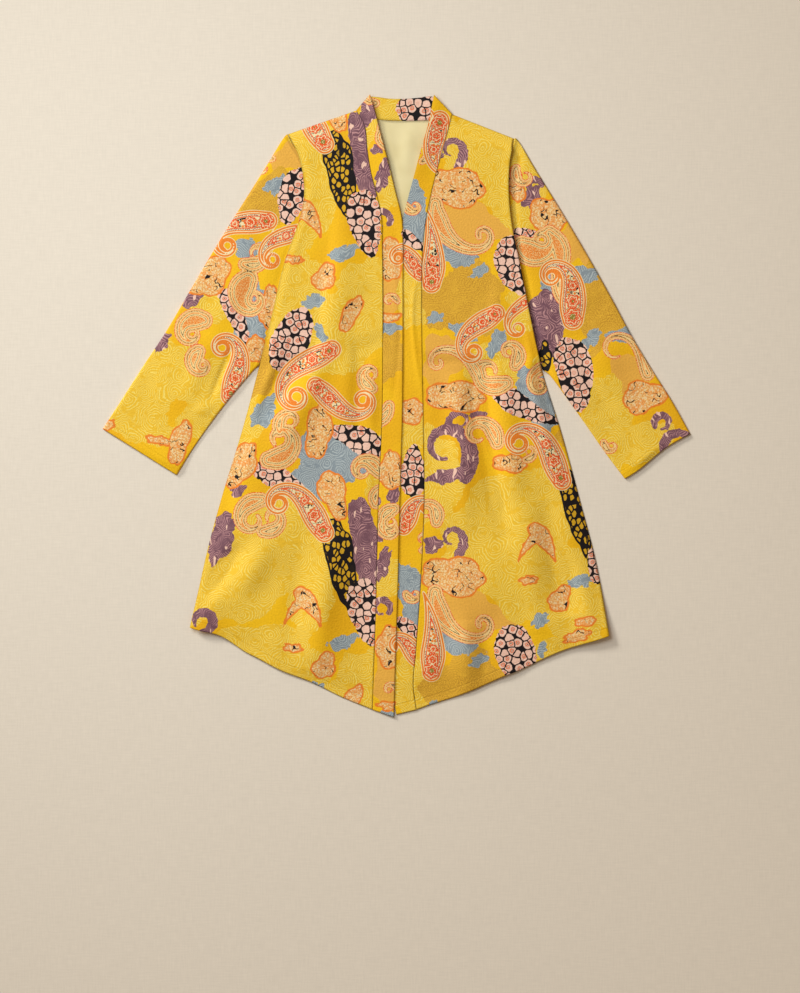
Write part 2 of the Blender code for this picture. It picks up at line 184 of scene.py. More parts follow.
class Fold(NamedTuple):
    """A soft fold through three points, in mm. A height below zero is a trough."""

    name: str
    x0: float
    y0: float
    x1: float
    y1: float
    x2: float
    y2: float
    half_width: float
    height: float

    def relief(self, plan: Array) -> Array:
        """Return the fold's height at each point of a plan, in metres."""
        t = np.linspace(0, 1, FOLD_STEPS)[:, None]
        start = np.array([self.x0, self.y0]) * MM
        middle = np.array([self.x1, self.y1]) * MM
        end = np.array([self.x2, self.y2]) * MM
        bend = 2 * middle - (start + end) / 2
        line = start * (1 - t) ** 2 + bend * 2 * t * (1 - t) + end * t**2
        margin = 3 * self.half_width * MM
        near = np.all((plan > line.min(axis=0) - margin) & (plan < line.max(axis=0) + margin), axis=-1)
        height = np.zeros(plan.shape[:-1])
        points = plan[near]
        best = np.full(len(points), np.inf)
        share = np.zeros(len(points))
        for step, (a, b) in enumerate(zip(line[:-1], line[1:])):
            along = np.clip((points - a) @ (b - a) / ((b - a) @ (b - a)), 0, 1)
            reach = np.linalg.norm(points - a - along[:, None] * (b - a), axis=1)
            closer = reach < best
            best[closer] = reach[closer]
            share[closer] = (step + along[closer]) / (FOLD_STEPS - 1)
        fade = np.sqrt(np.clip(np.sin(math.pi * np.clip(share, 0.02, 0.98)), 0, 1))
        height[near] = self.height * MM * fade * np.exp(-((best / (self.half_width * MM)) ** 2))
        return height


def held_over(height: Array, low: Array, soft: float = 1.2 * MM) -> Array:
    """Keep a height over a low one, with a rounded turn between them."""
    over = height - low
    return low + (over + np.sqrt(over**2 + soft**2)) / 2 - soft / 4


def relief_of(folds: Sequence[Fold], plan: Array) -> Array:
    """Add up the folds over a plan."""
    total = np.zeros(plan.shape[:-1])
    for fold in folds:
        total += fold.relief(plan)
    return total


class Family(Enum):
    """Kinds of printed motif, each kept on the cloth as a distance in mm."""

    CLOUD = "print_cloud"
    APRICOT = "print_apricot"
    OCHRE = "print_ochre"
    GREY = "print_grey"
    MAUVE = "print_mauve"
    GOLD_CELLS = "print_gold_cells"
    PINK_CELLS = "print_pink_cells"
    TAN = "print_tan"
    SCROLL = "print_scroll"
    PAISLEY = "print_paisley"
    FLOWER = "print_flower"


class Form(Enum):
    """Outlines that a motif can take."""

    EGG = "egg"
    LOBE = "lobe"
    CLOUD = "cloud"
    PATCH = "patch"
    RAGGED = "ragged"
    BLOOM = "bloom"
    WEDGE = "wedge"
    PAISLEY = "paisley"
    COMMA = "comma"
    HOOK = "hook"
    TAIL = "tail"
    TRUNK = "trunk"
    ARM = "arm"
    LEAF = "leaf"


class Motif(NamedTuple):
    """One motif of the print: its kind, form, place in the repeat, turn and size in mm."""

    family: Family
    form: Form
    x: float
    y: float
    turn: float
    length: float
    width: float
    flip: int = 1


class SpineShape(NamedTuple):
    """How a swept form runs: bends in radians, and its half width by share of the way."""

    bend: float
    late: float
    sway: float
    profile: tuple[tuple[float, float], ...]


SPINES = {
    Form.WEDGE: SpineShape(0.5, 1.5, 0.0, ((0, 0.70), (0.2, 1.0), (0.55, 0.62), (1, 0.08))),
    Form.PAISLEY: SpineShape(
        8.6, 2.6, -0.4, ((0, 0.70), (0.1, 1.0), (0.28, 0.86), (0.5, 0.44), (0.72, 0.27), (1, 0.14))
    ),
    Form.COMMA: SpineShape(5.2, 1.7, 0.0, ((0, 0.70), (0.15, 1.0), (0.5, 0.62), (1, 0.18))),
    Form.TAIL: SpineShape(6.8, 4.2, -1.2, ((0, 0.60), (0.15, 1.0), (0.4, 0.62), (0.75, 0.34), (1, 0.26))),
    Form.TRUNK: SpineShape(6.8, 4.2, 0.9, ((0, 0.60), (0.15, 1.0), (0.4, 0.62), (0.75, 0.34), (1, 0.26))),
    Form.HOOK: SpineShape(5.2, 1.1, 0.0, ((0, 0.75), (0.3, 1.0), (0.7, 0.8), (1, 0.2))),
    Form.ARM: SpineShape(4.8, 1.9, -0.5, ((0, 1.0), (0.4, 0.62), (0.8, 0.36), (1, 0.16))),
}


class Outline:
    """Works out a motif's outline and how far points lie from it."""

    CORNERS = 90
    SPINE_STEPS = 46

    def __init__(self, motif: Motif) -> None:
        """Keep the motif and lay out its outline or spine in its own frame."""
        self.motif = motif
        self.swept = motif.form in SPINES
        if self.swept:
            self.line, self.half = self._spine()
        else:
            self.line, self.half = self._closed(), None

    def _closed(self) -> Array:
        """Return a closed outline round the motif's centre, in mm."""
        m = self.motif
        t = np.linspace(0, 2 * math.pi, self.CORNERS, endpoint=False)
        phase = m.x * 0.37 + m.y * 0.61
        reach = np.ones_like(t)
        narrow = np.ones_like(t)
        if m.form is Form.EGG:
            reach += 0.035 * np.cos(3 * t + phase) + 0.02 * np.cos(7 * t + 2 * phase)
            narrow -= 0.22 * np.cos(t)
        elif m.form is Form.LEAF:
            reach += 0.05 * np.cos(6 * t + phase) + 0.035 * np.cos(9 * t + 2 * phase)
            narrow -= 0.30 * np.cos(t)
        elif m.form is Form.LOBE:
            reach += 0.17 * np.abs(np.sin(2.5 * t + phase)) + 0.08 * np.cos(3 * t + 2 * phase) - 0.10
            narrow -= 0.16 * np.cos(t)
        elif m.form is Form.CLOUD:
            reach += 0.16 * np.abs(np.sin(3.5 * t + phase)) + 0.10 * np.cos(2 * t + phase) - 0.1
        elif m.form is Form.PATCH:
            reach += 0.13 * np.cos(3 * t + phase) + 0.09 * np.cos(5 * t + 2 * phase)
            reach += 0.05 * np.cos(9 * t) - 0.04
        elif m.form is Form.RAGGED:
            reach += 0.13 * np.cos(2 * t + phase) + 0.11 * np.cos(5 * t + 3 * phase)
            reach += 0.07 * np.cos(8 * t + 2 * phase) + 0.05 * np.cos(13 * t + phase)
        elif m.form is Form.BLOOM:
            reach += 0.15 * np.cos(6 * t + phase) - 0.05
        x = m.length / 2 * np.cos(t) * reach
        y = m.width / 2 * np.sin(t) * reach * narrow * m.flip
        return np.stack([x, y], axis=1)

    def _spine(self) -> tuple[Array, Array]:
        """Return a spine and its half widths, in mm, from the head to the tail."""
        m = self.motif
        shape = SPINES[m.form]
        s = np.linspace(0, 1, self.SPINE_STEPS)
        heading = (shape.bend * s**shape.late + shape.sway * np.sin(math.pi * s)) * m.flip
        step = m.length / (self.SPINE_STEPS - 1)
        line = np.cumsum(np.stack([np.cos(heading), np.sin(heading)], axis=1) * step, axis=0)
        line -= line[0]
        half = m.width / 2 * np.interp(s, *np.array(shape.profile).T)
        half = np.convolve(np.pad(half, 3, mode="edge"), np.ones(7) / 7, mode="valid")
        return line, half

    def place(self, share: float) -> tuple[float, float]:
        """Return the point of the repeat at a share of the spine."""
        spot = self.line[int(share * (self.SPINE_STEPS - 1))]
        turned = self._turned(spot[None], 1)[0]
        return self.motif.x + turned[0], self.motif.y + turned[1]

    def _turned(self, points: Array, way: int) -> Array:
        """Turn points by the motif's angle, one way or back."""
        angle = math.radians(self.motif.turn) * way
        c, s = math.cos(angle), math.sin(angle)
        return points @ np.array([[c, s], [-s, c]])

    def box(self, margin: float) -> tuple[Array, Array]:
        """Return the lowest and highest corners in the repeat, with a margin."""
        fat = margin + (self.half.max() if self.swept else 0)
        around = self._turned(self.line, 1) + [self.motif.x, self.motif.y]
        return around.min(axis=0) - fat, around.max(axis=0) + fat

    def distance(self, points: Array) -> Array:
        """Return each point's distance from the outline in mm, below zero inside."""
        local = self._turned(points - [self.motif.x, self.motif.y], -1)
        if self.swept:
            return self._swept_distance(local)
        return self._closed_distance(local)

    def _swept_distance(self, points: Array) -> Array:
        """Return the distance from the swept spine."""
        best = np.full(len(points), np.inf)
        for a, b, wide, narrow in zip(self.line, self.line[1:], self.half, self.half[1:]):
            along = np.clip((points - a) @ (b - a) / ((b - a) @ (b - a)), 0, 1)
            reach = np.linalg.norm(points - a - along[:, None] * (b - a), axis=1)
            best = np.minimum(best, reach - wide * (1 - along) - narrow * along)
        return best

    def _closed_distance(self, points: Array) -> Array:
        """Return the distance from the closed outline."""
        best = np.full(len(points), np.inf)
        inside = np.zeros(len(points), dtype=bool)
        for a, b in zip(self.line, np.roll(self.line, -1, axis=0)):
            along = np.clip((points - a) @ (b - a) / ((b - a) @ (b - a)), 0, 1)
            best = np.minimum(best, np.linalg.norm(points - a - along[:, None] * (b - a), axis=1))
            spans = (a[1] > points[:, 1]) != (b[1] > points[:, 1])
            rise = b[1] - a[1] if abs(b[1] - a[1]) > 1e-9 else 1e-9
            cross = a[0] + (points[:, 1] - a[1]) * (b[0] - a[0]) / rise
            inside ^= spans & (points[:, 0] < cross)
        return np.where(inside, -best, best)


# Short names for the two layouts below, which are placed after the photo
F, S = Family, Form

# The cloth of the fronts and the back, as one repeat
REPEAT_MOTIFS: tuple[Motif, ...] = (
    Motif(F.CLOUD, S.CLOUD, 92, 250, 20, 215, 165),
    Motif(F.CLOUD, S.CLOUD, 205, 236, 80, 190, 92),
    Motif(F.CLOUD, S.CLOUD, 130, 70, -10, 235, 150),
    Motif(F.CLOUD, S.CLOUD, 52, 500, 75, 165, 130),
    Motif(F.CLOUD, S.CLOUD, 225, 620, 10, 190, 105),
    Motif(F.CLOUD, S.CLOUD, 292, 45, 60, 150, 110),
    Motif(F.CLOUD, S.CLOUD, 478, 305, 15, 240, 190),
    Motif(F.CLOUD, S.CLOUD, 602, 205, 80, 170, 135),
    Motif(F.CLOUD, S.CLOUD, 502, 206, -35, 124, 92),
    Motif(F.CLOUD, S.CLOUD, 560, 70, 25, 190, 125),
    Motif(F.CLOUD, S.CLOUD, 590, 575, -35, 160, 130),
    Motif(F.CLOUD, S.CLOUD, 345, 395, 85, 170, 105),
    Motif(F.CLOUD, S.CLOUD, 452, 575, 45, 110, 80),
    Motif(F.CLOUD, S.CLOUD, 160, 330, 5, 125, 95),
    Motif(F.APRICOT, S.PATCH, 412, 172, -15, 128, 78),
    Motif(F.APRICOT, S.PATCH, 366, 588, 80, 92, 70),
    Motif(F.APRICOT, S.PATCH, 25, 615, 40, 100, 72),
    Motif(F.OCHRE, S.PATCH, 402, 50, 20, 144, 122),
    Motif(F.OCHRE, S.PATCH, 106, 572, 75, 120, 64),
    Motif(F.OCHRE, S.PATCH, 604, 470, 65, 115, 82),
    Motif(F.GREY, S.PATCH, 230, 420, 35, 152, 112),
    Motif(F.GREY, S.PATCH, 522, 520, -70, 128, 56),
    Motif(F.GREY, S.PATCH, 252, 124, 18, 52, 24),
    Motif(F.GREY, S.PATCH, 122, 502, 60, 58, 36),
    Motif(F.GREY, S.PATCH, 388, 122, -25, 72, 34),
    Motif(F.GREY, S.PATCH, 455, 616, 60, 52, 28),
    Motif(F.GREY, S.RAGGED, 402, 634, -20, 50, 22),
    Motif(F.GREY, S.RAGGED, 354, 18, 10, 30, 16),
    Motif(F.GREY, S.RAGGED, 203, 45, 30, 38, 22),
    Motif(F.GREY, S.RAGGED, 216, 632, -60, 34, 18),
    Motif(F.GREY, S.RAGGED, 426, 94, 40, 32, 18),
    Motif(F.GREY, S.RAGGED, 593, 224, 10, 48, 18),
    Motif(F.GREY, S.RAGGED, 527, 160, 30, 34, 20),
    Motif(F.GREY, S.RAGGED, 530, 112, 80, 26, 16),
    Motif(F.MAUVE, S.LOBE, 289, 285, -81, 152, 48),
    Motif(F.MAUVE, S.RAGGED, 52, 296, 64, 84, 42),
    Motif(F.MAUVE, S.PATCH, 79, 374, 20, 28, 22),
    Motif(F.MAUVE, S.RAGGED, 376, 398, 5, 70, 24),
    Motif(F.MAUVE, S.COMMA, 404, 396, 70, 182, 31),
    Motif(F.MAUVE, S.COMMA, 374, 476, 84, 76, 13, -1),
    Motif(F.MAUVE, S.PATCH, 425, 494, 20, 28, 26),
    Motif(F.MAUVE, S.HOOK, 22, 140, 5, 84, 17),
    Motif(F.MAUVE, S.COMMA, 391, 266, 54, 94, 18),
    Motif(F.MAUVE, S.PATCH, 350, 284, 30, 32, 30),
    Motif(F.GOLD_CELLS, S.LEAF, 250, 250, -79, 156, 46),
    Motif(F.GOLD_CELLS, S.LEAF, 588, 336, -76, 150, 38),
    Motif(F.PINK_CELLS, S.EGG, 289, 174, -80, 112, 54),
    Motif(F.PINK_CELLS, S.EGG, 168, 624, 66, 114, 62),
    Motif(F.PINK_CELLS, S.EGG, 488, 102, -72, 102, 66),
    Motif(F.PINK_CELLS, S.EGG, 16, 40, 40, 92, 54),
    Motif(F.PINK_CELLS, S.EGG, 618, 250, 100, 60, 26),
    Motif(F.PINK_CELLS, S.WEDGE, 304, 446, 152, 98, 48),
    Motif(F.PINK_CELLS, S.WEDGE, 116, 408, -22, 116, 40, -1),
    Motif(F.PINK_CELLS, S.WEDGE, 462, 534, -36, 122, 42),
    Motif(F.TAN, S.LOBE, 386, 232, -6, 106, 66),
    Motif(F.TAN, S.LOBE, 390, 528, -4, 100, 52),
    Motif(F.TAN, S.LOBE, 212, 472, 84, 92, 44),
    Motif(F.TAN, S.LOBE, 237, 366, -72, 86, 44),
    Motif(F.TAN, S.LOBE, 84, 416, 58, 86, 46),
    Motif(F.TAN, S.WEDGE, 188, 196, 222, 58, 20),
    Motif(F.TAN, S.WEDGE, 182, 204, -46, 64, 34, -1),
    Motif(F.TAN, S.RAGGED, 170, 114, 0, 32, 18),
    Motif(F.TAN, S.LOBE, 222, 86, 60, 50, 36),
    Motif(F.TAN, S.LOBE, 266, 26, 62, 68, 28),
    Motif(F.TAN, S.WEDGE, 524, 302, 222, 58, 20),
    Motif(F.TAN, S.WEDGE, 518, 310, -46, 64, 34, -1),
    Motif(F.TAN, S.RAGGED, 508, 226, 0, 32, 18),
    Motif(F.TAN, S.LOBE, 560, 196, 60, 50, 34),
    Motif(F.TAN, S.LOBE, 602, 158, 10, 38, 18),
    Motif(F.TAN, S.RAGGED, 588, 134, 12, 54, 20),
    Motif(F.TAN, S.LOBE, 478, 418, -5, 58, 32),
    Motif(F.TAN, S.LOBE, 18, 545, 65, 92, 54),
    Motif(F.SCROLL, S.TRUNK, 354, 206, 265, 186, 40),
    Motif(F.SCROLL, S.TRUNK, 430, 548, 92, 160, 30),
    Motif(F.SCROLL, S.COMMA, 130, 424, 5, 118, 42),
    Motif(F.SCROLL, S.COMMA, 148, 470, 100, 76, 26, -1),
    Motif(F.SCROLL, S.COMMA, 118, 358, 190, 112, 34),
    Motif(F.SCROLL, S.COMMA, 120, 306, 0, 84, 28),
    Motif(F.SCROLL, S.COMMA, 312, 404, 120, 84, 32),
    Motif(F.SCROLL, S.COMMA, 306, 352, 100, 62, 26, -1),
    Motif(F.SCROLL, S.COMMA, 300, 542, 150, 70, 28, -1),
    Motif(F.SCROLL, S.COMMA, 486, 580, 60, 74, 28),
    Motif(F.SCROLL, S.COMMA, 470, 550, 200, 104, 36, -1),
    Motif(F.SCROLL, S.COMMA, 456, 452, 100, 108, 32),
    Motif(F.SCROLL, S.COMMA, 502, 424, 10, 48, 16),
    Motif(F.SCROLL, S.COMMA, 356, 322, 80, 74, 28),
    Motif(F.SCROLL, S.COMMA, 590, 30, 160, 100, 38),
    Motif(F.SCROLL, S.TAIL, 610, 620, 250, 190, 40),
    Motif(F.PAISLEY, S.PAISLEY, 222, 304, 126, 216, 44),
    Motif(F.PAISLEY, S.PAISLEY, 234, 606, 212, 236, 42),
    Motif(F.PAISLEY, S.PAISLEY, 207, 546, -38, 196, 40),
    Motif(F.PAISLEY, S.WEDGE, 348, 74, 84, 134, 44),
    Motif(F.PAISLEY, S.PAISLEY, 455, 26, 218, 180, 38),
    Motif(F.PAISLEY, S.PAISLEY, 518, 56, 222, 150, 24),
    Motif(F.PAISLEY, S.PAISLEY, 563, 390, 118, 228, 44),
)

# The cloth of the sleeves, bands and neck band, laid out side by side in one more tile
SMALL_PIECE_MOTIFS: tuple[Motif, ...] = (
    Motif(F.CLOUD, S.CLOUD, 184, 132, 65, 190, 96),
    Motif(F.CLOUD, S.CLOUD, 262, 186, 60, 110, 64),
    Motif(F.CLOUD, S.CLOUD, 212, 70, 20, 110, 60),
    Motif(F.CLOUD, S.CLOUD, 285, 130, 80, 90, 50),
    Motif(F.CLOUD, S.CLOUD, 204, 294, 30, 74, 52),
    Motif(F.CLOUD, S.CLOUD, 250, 555, 60, 90, 60),
    Motif(F.CLOUD, S.CLOUD, 596, 540, 60, 120, 70),
    Motif(F.CLOUD, S.CLOUD, 545, 478, 60, 70, 56),
    Motif(F.CLOUD, S.CLOUD, 493, 112, 60, 150, 90),
    Motif(F.CLOUD, S.CLOUD, 520, 58, 0, 120, 64),
    Motif(F.CLOUD, S.CLOUD, 90, 120, 10, 150, 110),
    Motif(F.CLOUD, S.CLOUD, 60, 330, 60, 150, 100),
    Motif(F.CLOUD, S.CLOUD, 100, 520, 90, 140, 96),
    Motif(F.CLOUD, S.CLOUD, 10, 600, 20, 130, 90),
    Motif(F.CLOUD, S.CLOUD, 321, 456, 80, 80, 56),
    Motif(F.CLOUD, S.CLOUD, 364, 358, 90, 66, 50),
    Motif(F.CLOUD, S.CLOUD, 409, 180, 90, 110, 52),
    Motif(F.CLOUD, S.CLOUD, 413, 596, 90, 92, 48),
    Motif(F.CLOUD, S.CLOUD, 176, 627, 0, 84, 60),
    Motif(F.APRICOT, S.PATCH, 182, 575, 60, 70, 44),
    Motif(F.APRICOT, S.PATCH, 604, 396, 60, 84, 64),
    Motif(F.APRICOT, S.PATCH, 556, 162, 20, 90, 68),
    Motif(F.APRICOT, S.PATCH, 366, 188, 90, 90, 54),
    Motif(F.OCHRE, S.PATCH, 186, 492, 60, 106, 84),
    Motif(F.OCHRE, S.PATCH, 582, 284, 60, 150, 80),
    Motif(F.OCHRE, S.PATCH, 364, 86, 90, 96, 60),
    Motif(F.OCHRE, S.PATCH, 110, 60, 20, 90, 70),
    Motif(F.GREY, S.PATCH, 188, 522, 60, 42, 26),
    Motif(F.GREY, S.PATCH, 206, 410, 30, 50, 36),
    Motif(F.GREY, S.PATCH, 268, 320, 112, 120, 54),
    Motif(F.GREY, S.PATCH, 530, 352, 60, 66, 36),
    Motif(F.GREY, S.PATCH, 584, 344, -31, 60, 30),
    Motif(F.GREY, S.RAGGED, 540, 246, 10, 42, 20),
    Motif(F.GREY, S.PATCH, 588, 226, -20, 58, 24),
    Motif(F.GREY, S.PATCH, 422, 302, 95, 92, 48),
    Motif(F.GREY, S.PATCH, 409, 346, 90, 70, 44),
    Motif(F.GREY, S.PATCH, 366, 128, 0, 36, 22),
    Motif(F.GREY, S.PATCH, 60, 200, 40, 90, 60),
    Motif(F.MAUVE, S.PATCH, 170, 288, 50, 36, 26),
    Motif(F.MAUVE, S.RAGGED, 166, 203, 90, 42, 20),
    Motif(F.MAUVE, S.PATCH, 574, 496, 30, 40, 32),
    Motif(F.MAUVE, S.HOOK, 600, 506, 70, 54, 12),
    Motif(F.MAUVE, S.LOBE, 490, 308, 60, 112, 66),
    Motif(F.MAUVE, S.HOOK, 556, 70, 79, 62, 13, -1),
    Motif(F.MAUVE, S.HOOK, 594, 30, 119, 124, 16),
    Motif(F.MAUVE, S.PATCH, 333, 484, 70, 46, 34),
    Motif(F.MAUVE, S.PATCH, 374, 496, 80, 44, 20),
    Motif(F.MAUVE, S.RAGGED, 356, 380, 70, 52, 24),
    Motif(F.MAUVE, S.HOOK, 366, 300, 60, 66, 12),
    Motif(F.MAUVE, S.PATCH, 345, 422, 0, 22, 16),
    Motif(F.MAUVE, S.LOBE, 130, 420, 70, 90, 40),
    Motif(F.GOLD_CELLS, S.LEAF, 460, 262, 60, 54, 22),
    Motif(F.GOLD_CELLS, S.LEAF, 110, 300, 70, 120, 40),
    Motif(F.PINK_CELLS, S.EGG, 222, 522, 285, 98, 48),
    Motif(F.PINK_CELLS, S.WEDGE, 214, 324, -28, 122, 32, -1),
    Motif(F.PINK_CELLS, S.EGG, 534, 448, -31, 52, 26),
    Motif(F.PINK_CELLS, S.EGG, 487, 211, 250, 124, 60),
    Motif(F.PINK_CELLS, S.WEDGE, 396, 284, -40, 62, 26),
    Motif(F.PINK_CELLS, S.EGG, 416, 532, 90, 88, 40),
    Motif(F.PINK_CELLS, S.EGG, 244, 627, 0, 88, 56),
    Motif(F.PINK_CELLS, S.EGG, 20, 90, 60, 92, 52),
    Motif(F.TAN, S.LOBE, 174, 336, 60, 84, 60),
    Motif(F.TAN, S.LOBE, 288, 346, 122, 76, 36),
    Motif(F.TAN, S.LOBE, 303, 277, 122, 46, 32),
    Motif(F.TAN, S.LOBE, 279, 80, 105, 78, 34),
    Motif(F.TAN, S.RAGGED, 250, 64, 20, 44, 18),
    Motif(F.TAN, S.RAGGED, 163, 40, 40, 30, 18),
    Motif(F.TAN, S.LOBE, 564, 530, 70, 62, 30),
    Motif(F.TAN, S.LOBE, 588, 456, -20, 72, 62),
    Motif(F.TAN, S.LOBE, 567, 120, -18, 76, 52),
    Motif(F.TAN, S.LOBE, 366, 243, 90, 74, 44),
    Motif(F.TAN, S.PATCH, 366, 146, 0, 44, 18),
    Motif(F.TAN, S.LOBE, 369, 534, 90, 66, 44),
    Motif(F.TAN, S.LOBE, 414, 632, 80, 46, 42),
    Motif(F.TAN, S.LOBE, 80, 400, 40, 80, 50),
    Motif(F.SCROLL, S.COMMA, 160, 556, 200, 66, 18),
    Motif(F.SCROLL, S.COMMA, 232, 366, 262, 104, 48),
    Motif(F.SCROLL, S.COMMA, 214, 384, 20, 84, 30),
    Motif(F.SCROLL, S.COMMA, 206, 270, 205, 90, 42),
    Motif(F.SCROLL, S.COMMA, 226, 222, 262, 70, 34),
    Motif(F.SCROLL, S.COMMA, 578, 552, 230, 64, 20),
    Motif(F.SCROLL, S.COMMA, 520, 436, 290, 104, 50),
    Motif(F.SCROLL, S.TAIL, 570, 432, 289, 190, 42),
    Motif(F.SCROLL, S.ARM, 590, 150, 84, 152, 24),
    Motif(F.SCROLL, S.COMMA, 470, 90, 250, 44, 16),
    Motif(F.SCROLL, S.COMMA, 334, 504, 120, 60, 26),
    Motif(F.SCROLL, S.COMMA, 354, 452, 262, 66, 24),
    Motif(F.SCROLL, S.COMMA, 374, 470, 200, 70, 28),
    Motif(F.SCROLL, S.COMMA, 380, 172, 120, 42, 14),
    Motif(F.SCROLL, S.TAIL, 366, 640, 262, 120, 30),
    Motif(F.SCROLL, S.COMMA, 430, 402, 30, 56, 16),
    Motif(F.SCROLL, S.COMMA, 404, 330, 300, 44, 18),
    Motif(F.SCROLL, S.COMMA, 166, 634, 180, 44, 20),
    Motif(F.SCROLL, S.COMMA, 30, 270, 100, 96, 38),
    Motif(F.PAISLEY, S.PAISLEY, 209, 466, 222, 192, 42),
    Motif(F.PAISLEY, S.PAISLEY, 262, 480, 237, 160, 32),
    Motif(F.PAISLEY, S.PAISLEY, 309, 188, 110, 194, 42),
    Motif(F.PAISLEY, S.PAISLEY, 530, 290, 64, 192, 48),
    Motif(F.PAISLEY, S.PAISLEY, 460, 470, 262, 170, 44),
    Motif(F.PAISLEY, S.PAISLEY, 428, 218, 130, 130, 36),
    Motif(F.PAISLEY, S.PAISLEY, 400, 440, 62, 120, 36, -1),
    Motif(F.PAISLEY, S.PAISLEY, 120, 230, 120, 190, 44),
    Motif(F.PAISLEY, S.PAISLEY, 40, 470, 60, 180, 42, -1),
)


class PrintRepeat:
    """One repeat of the print, in mm, as distances to each family on a fine lattice."""

    SIZE = 640.0
    STEPS = 512
    FAR = 14.0
    # Each flower of a paisley: its place along the spine and its share of the width
    FLOWERS = ((0.04, 0.62), (0.17, 0.50), (0.29, 0.38))

    def __init__(self, motifs: Sequence[Motif]) -> None:
        """Work out the distances to all motifs, wrapped at the repeat's edges."""
        self.fields = {family: np.full((self.STEPS, self.STEPS), self.FAR) for family in Family}
        for motif in motifs:
            outline = Outline(motif)
            self._stamp(motif.family, outline)
            if motif.family is Family.PAISLEY:
                for share, size in self.FLOWERS:
                    x, y = outline.place(share)
                    across = motif.width * size
                    bloom = Motif(F.FLOWER, S.BLOOM, x, y, motif.turn, across, across)
                    self._stamp(Family.FLOWER, Outline(bloom))

    def _stamp(self, family: Family, outline: Outline) -> None:
        """Lower a family's distances round one outline."""
        pitch = self.SIZE / self.STEPS
        low, high = outline.box(self.FAR)
        columns = np.arange(math.floor(low[0] / pitch), math.ceil(high[0] / pitch) + 1)
        rows = np.arange(math.floor(low[1] / pitch), math.ceil(high[1] / pitch) + 1)
        grid = np.stack(np.meshgrid(columns * pitch, rows * pitch), axis=-1).reshape(-1, 2)
        reach = outline.distance(grid).reshape(len(rows), len(columns))
        window = np.ix_(rows % self.STEPS, columns % self.STEPS)
        self.fields[family][window] = np.minimum(self.fields[family][window], reach)

    def sample(self, cloth: Array) -> dict[str, Array]:
        """Read every family at points of the cloth.

        Args:
            cloth: Points on the cloth in metres, with x and y last.

        Returns:
            Distances in mm by attribute name.
        """
        place = cloth / MM / self.SIZE * self.STEPS
        base = np.floor(place).astype(int)
        part = place - base
        x0, y0 = base[..., 0] % self.STEPS, base[..., 1] % self.STEPS
        x1, y1 = (x0 + 1) % self.STEPS, (y0 + 1) % self.STEPS
        fx, fy = part[..., 0], part[..., 1]
        values = {}
        for family, grid in self.fields.items():
            low = grid[y0, x0] * (1 - fx) + grid[y0, x1] * fx
            high = grid[y1, x0] * (1 - fx) + grid[y1, x1] * fx
            values[family.value] = low * (1 - fy) + high * fy
        return values


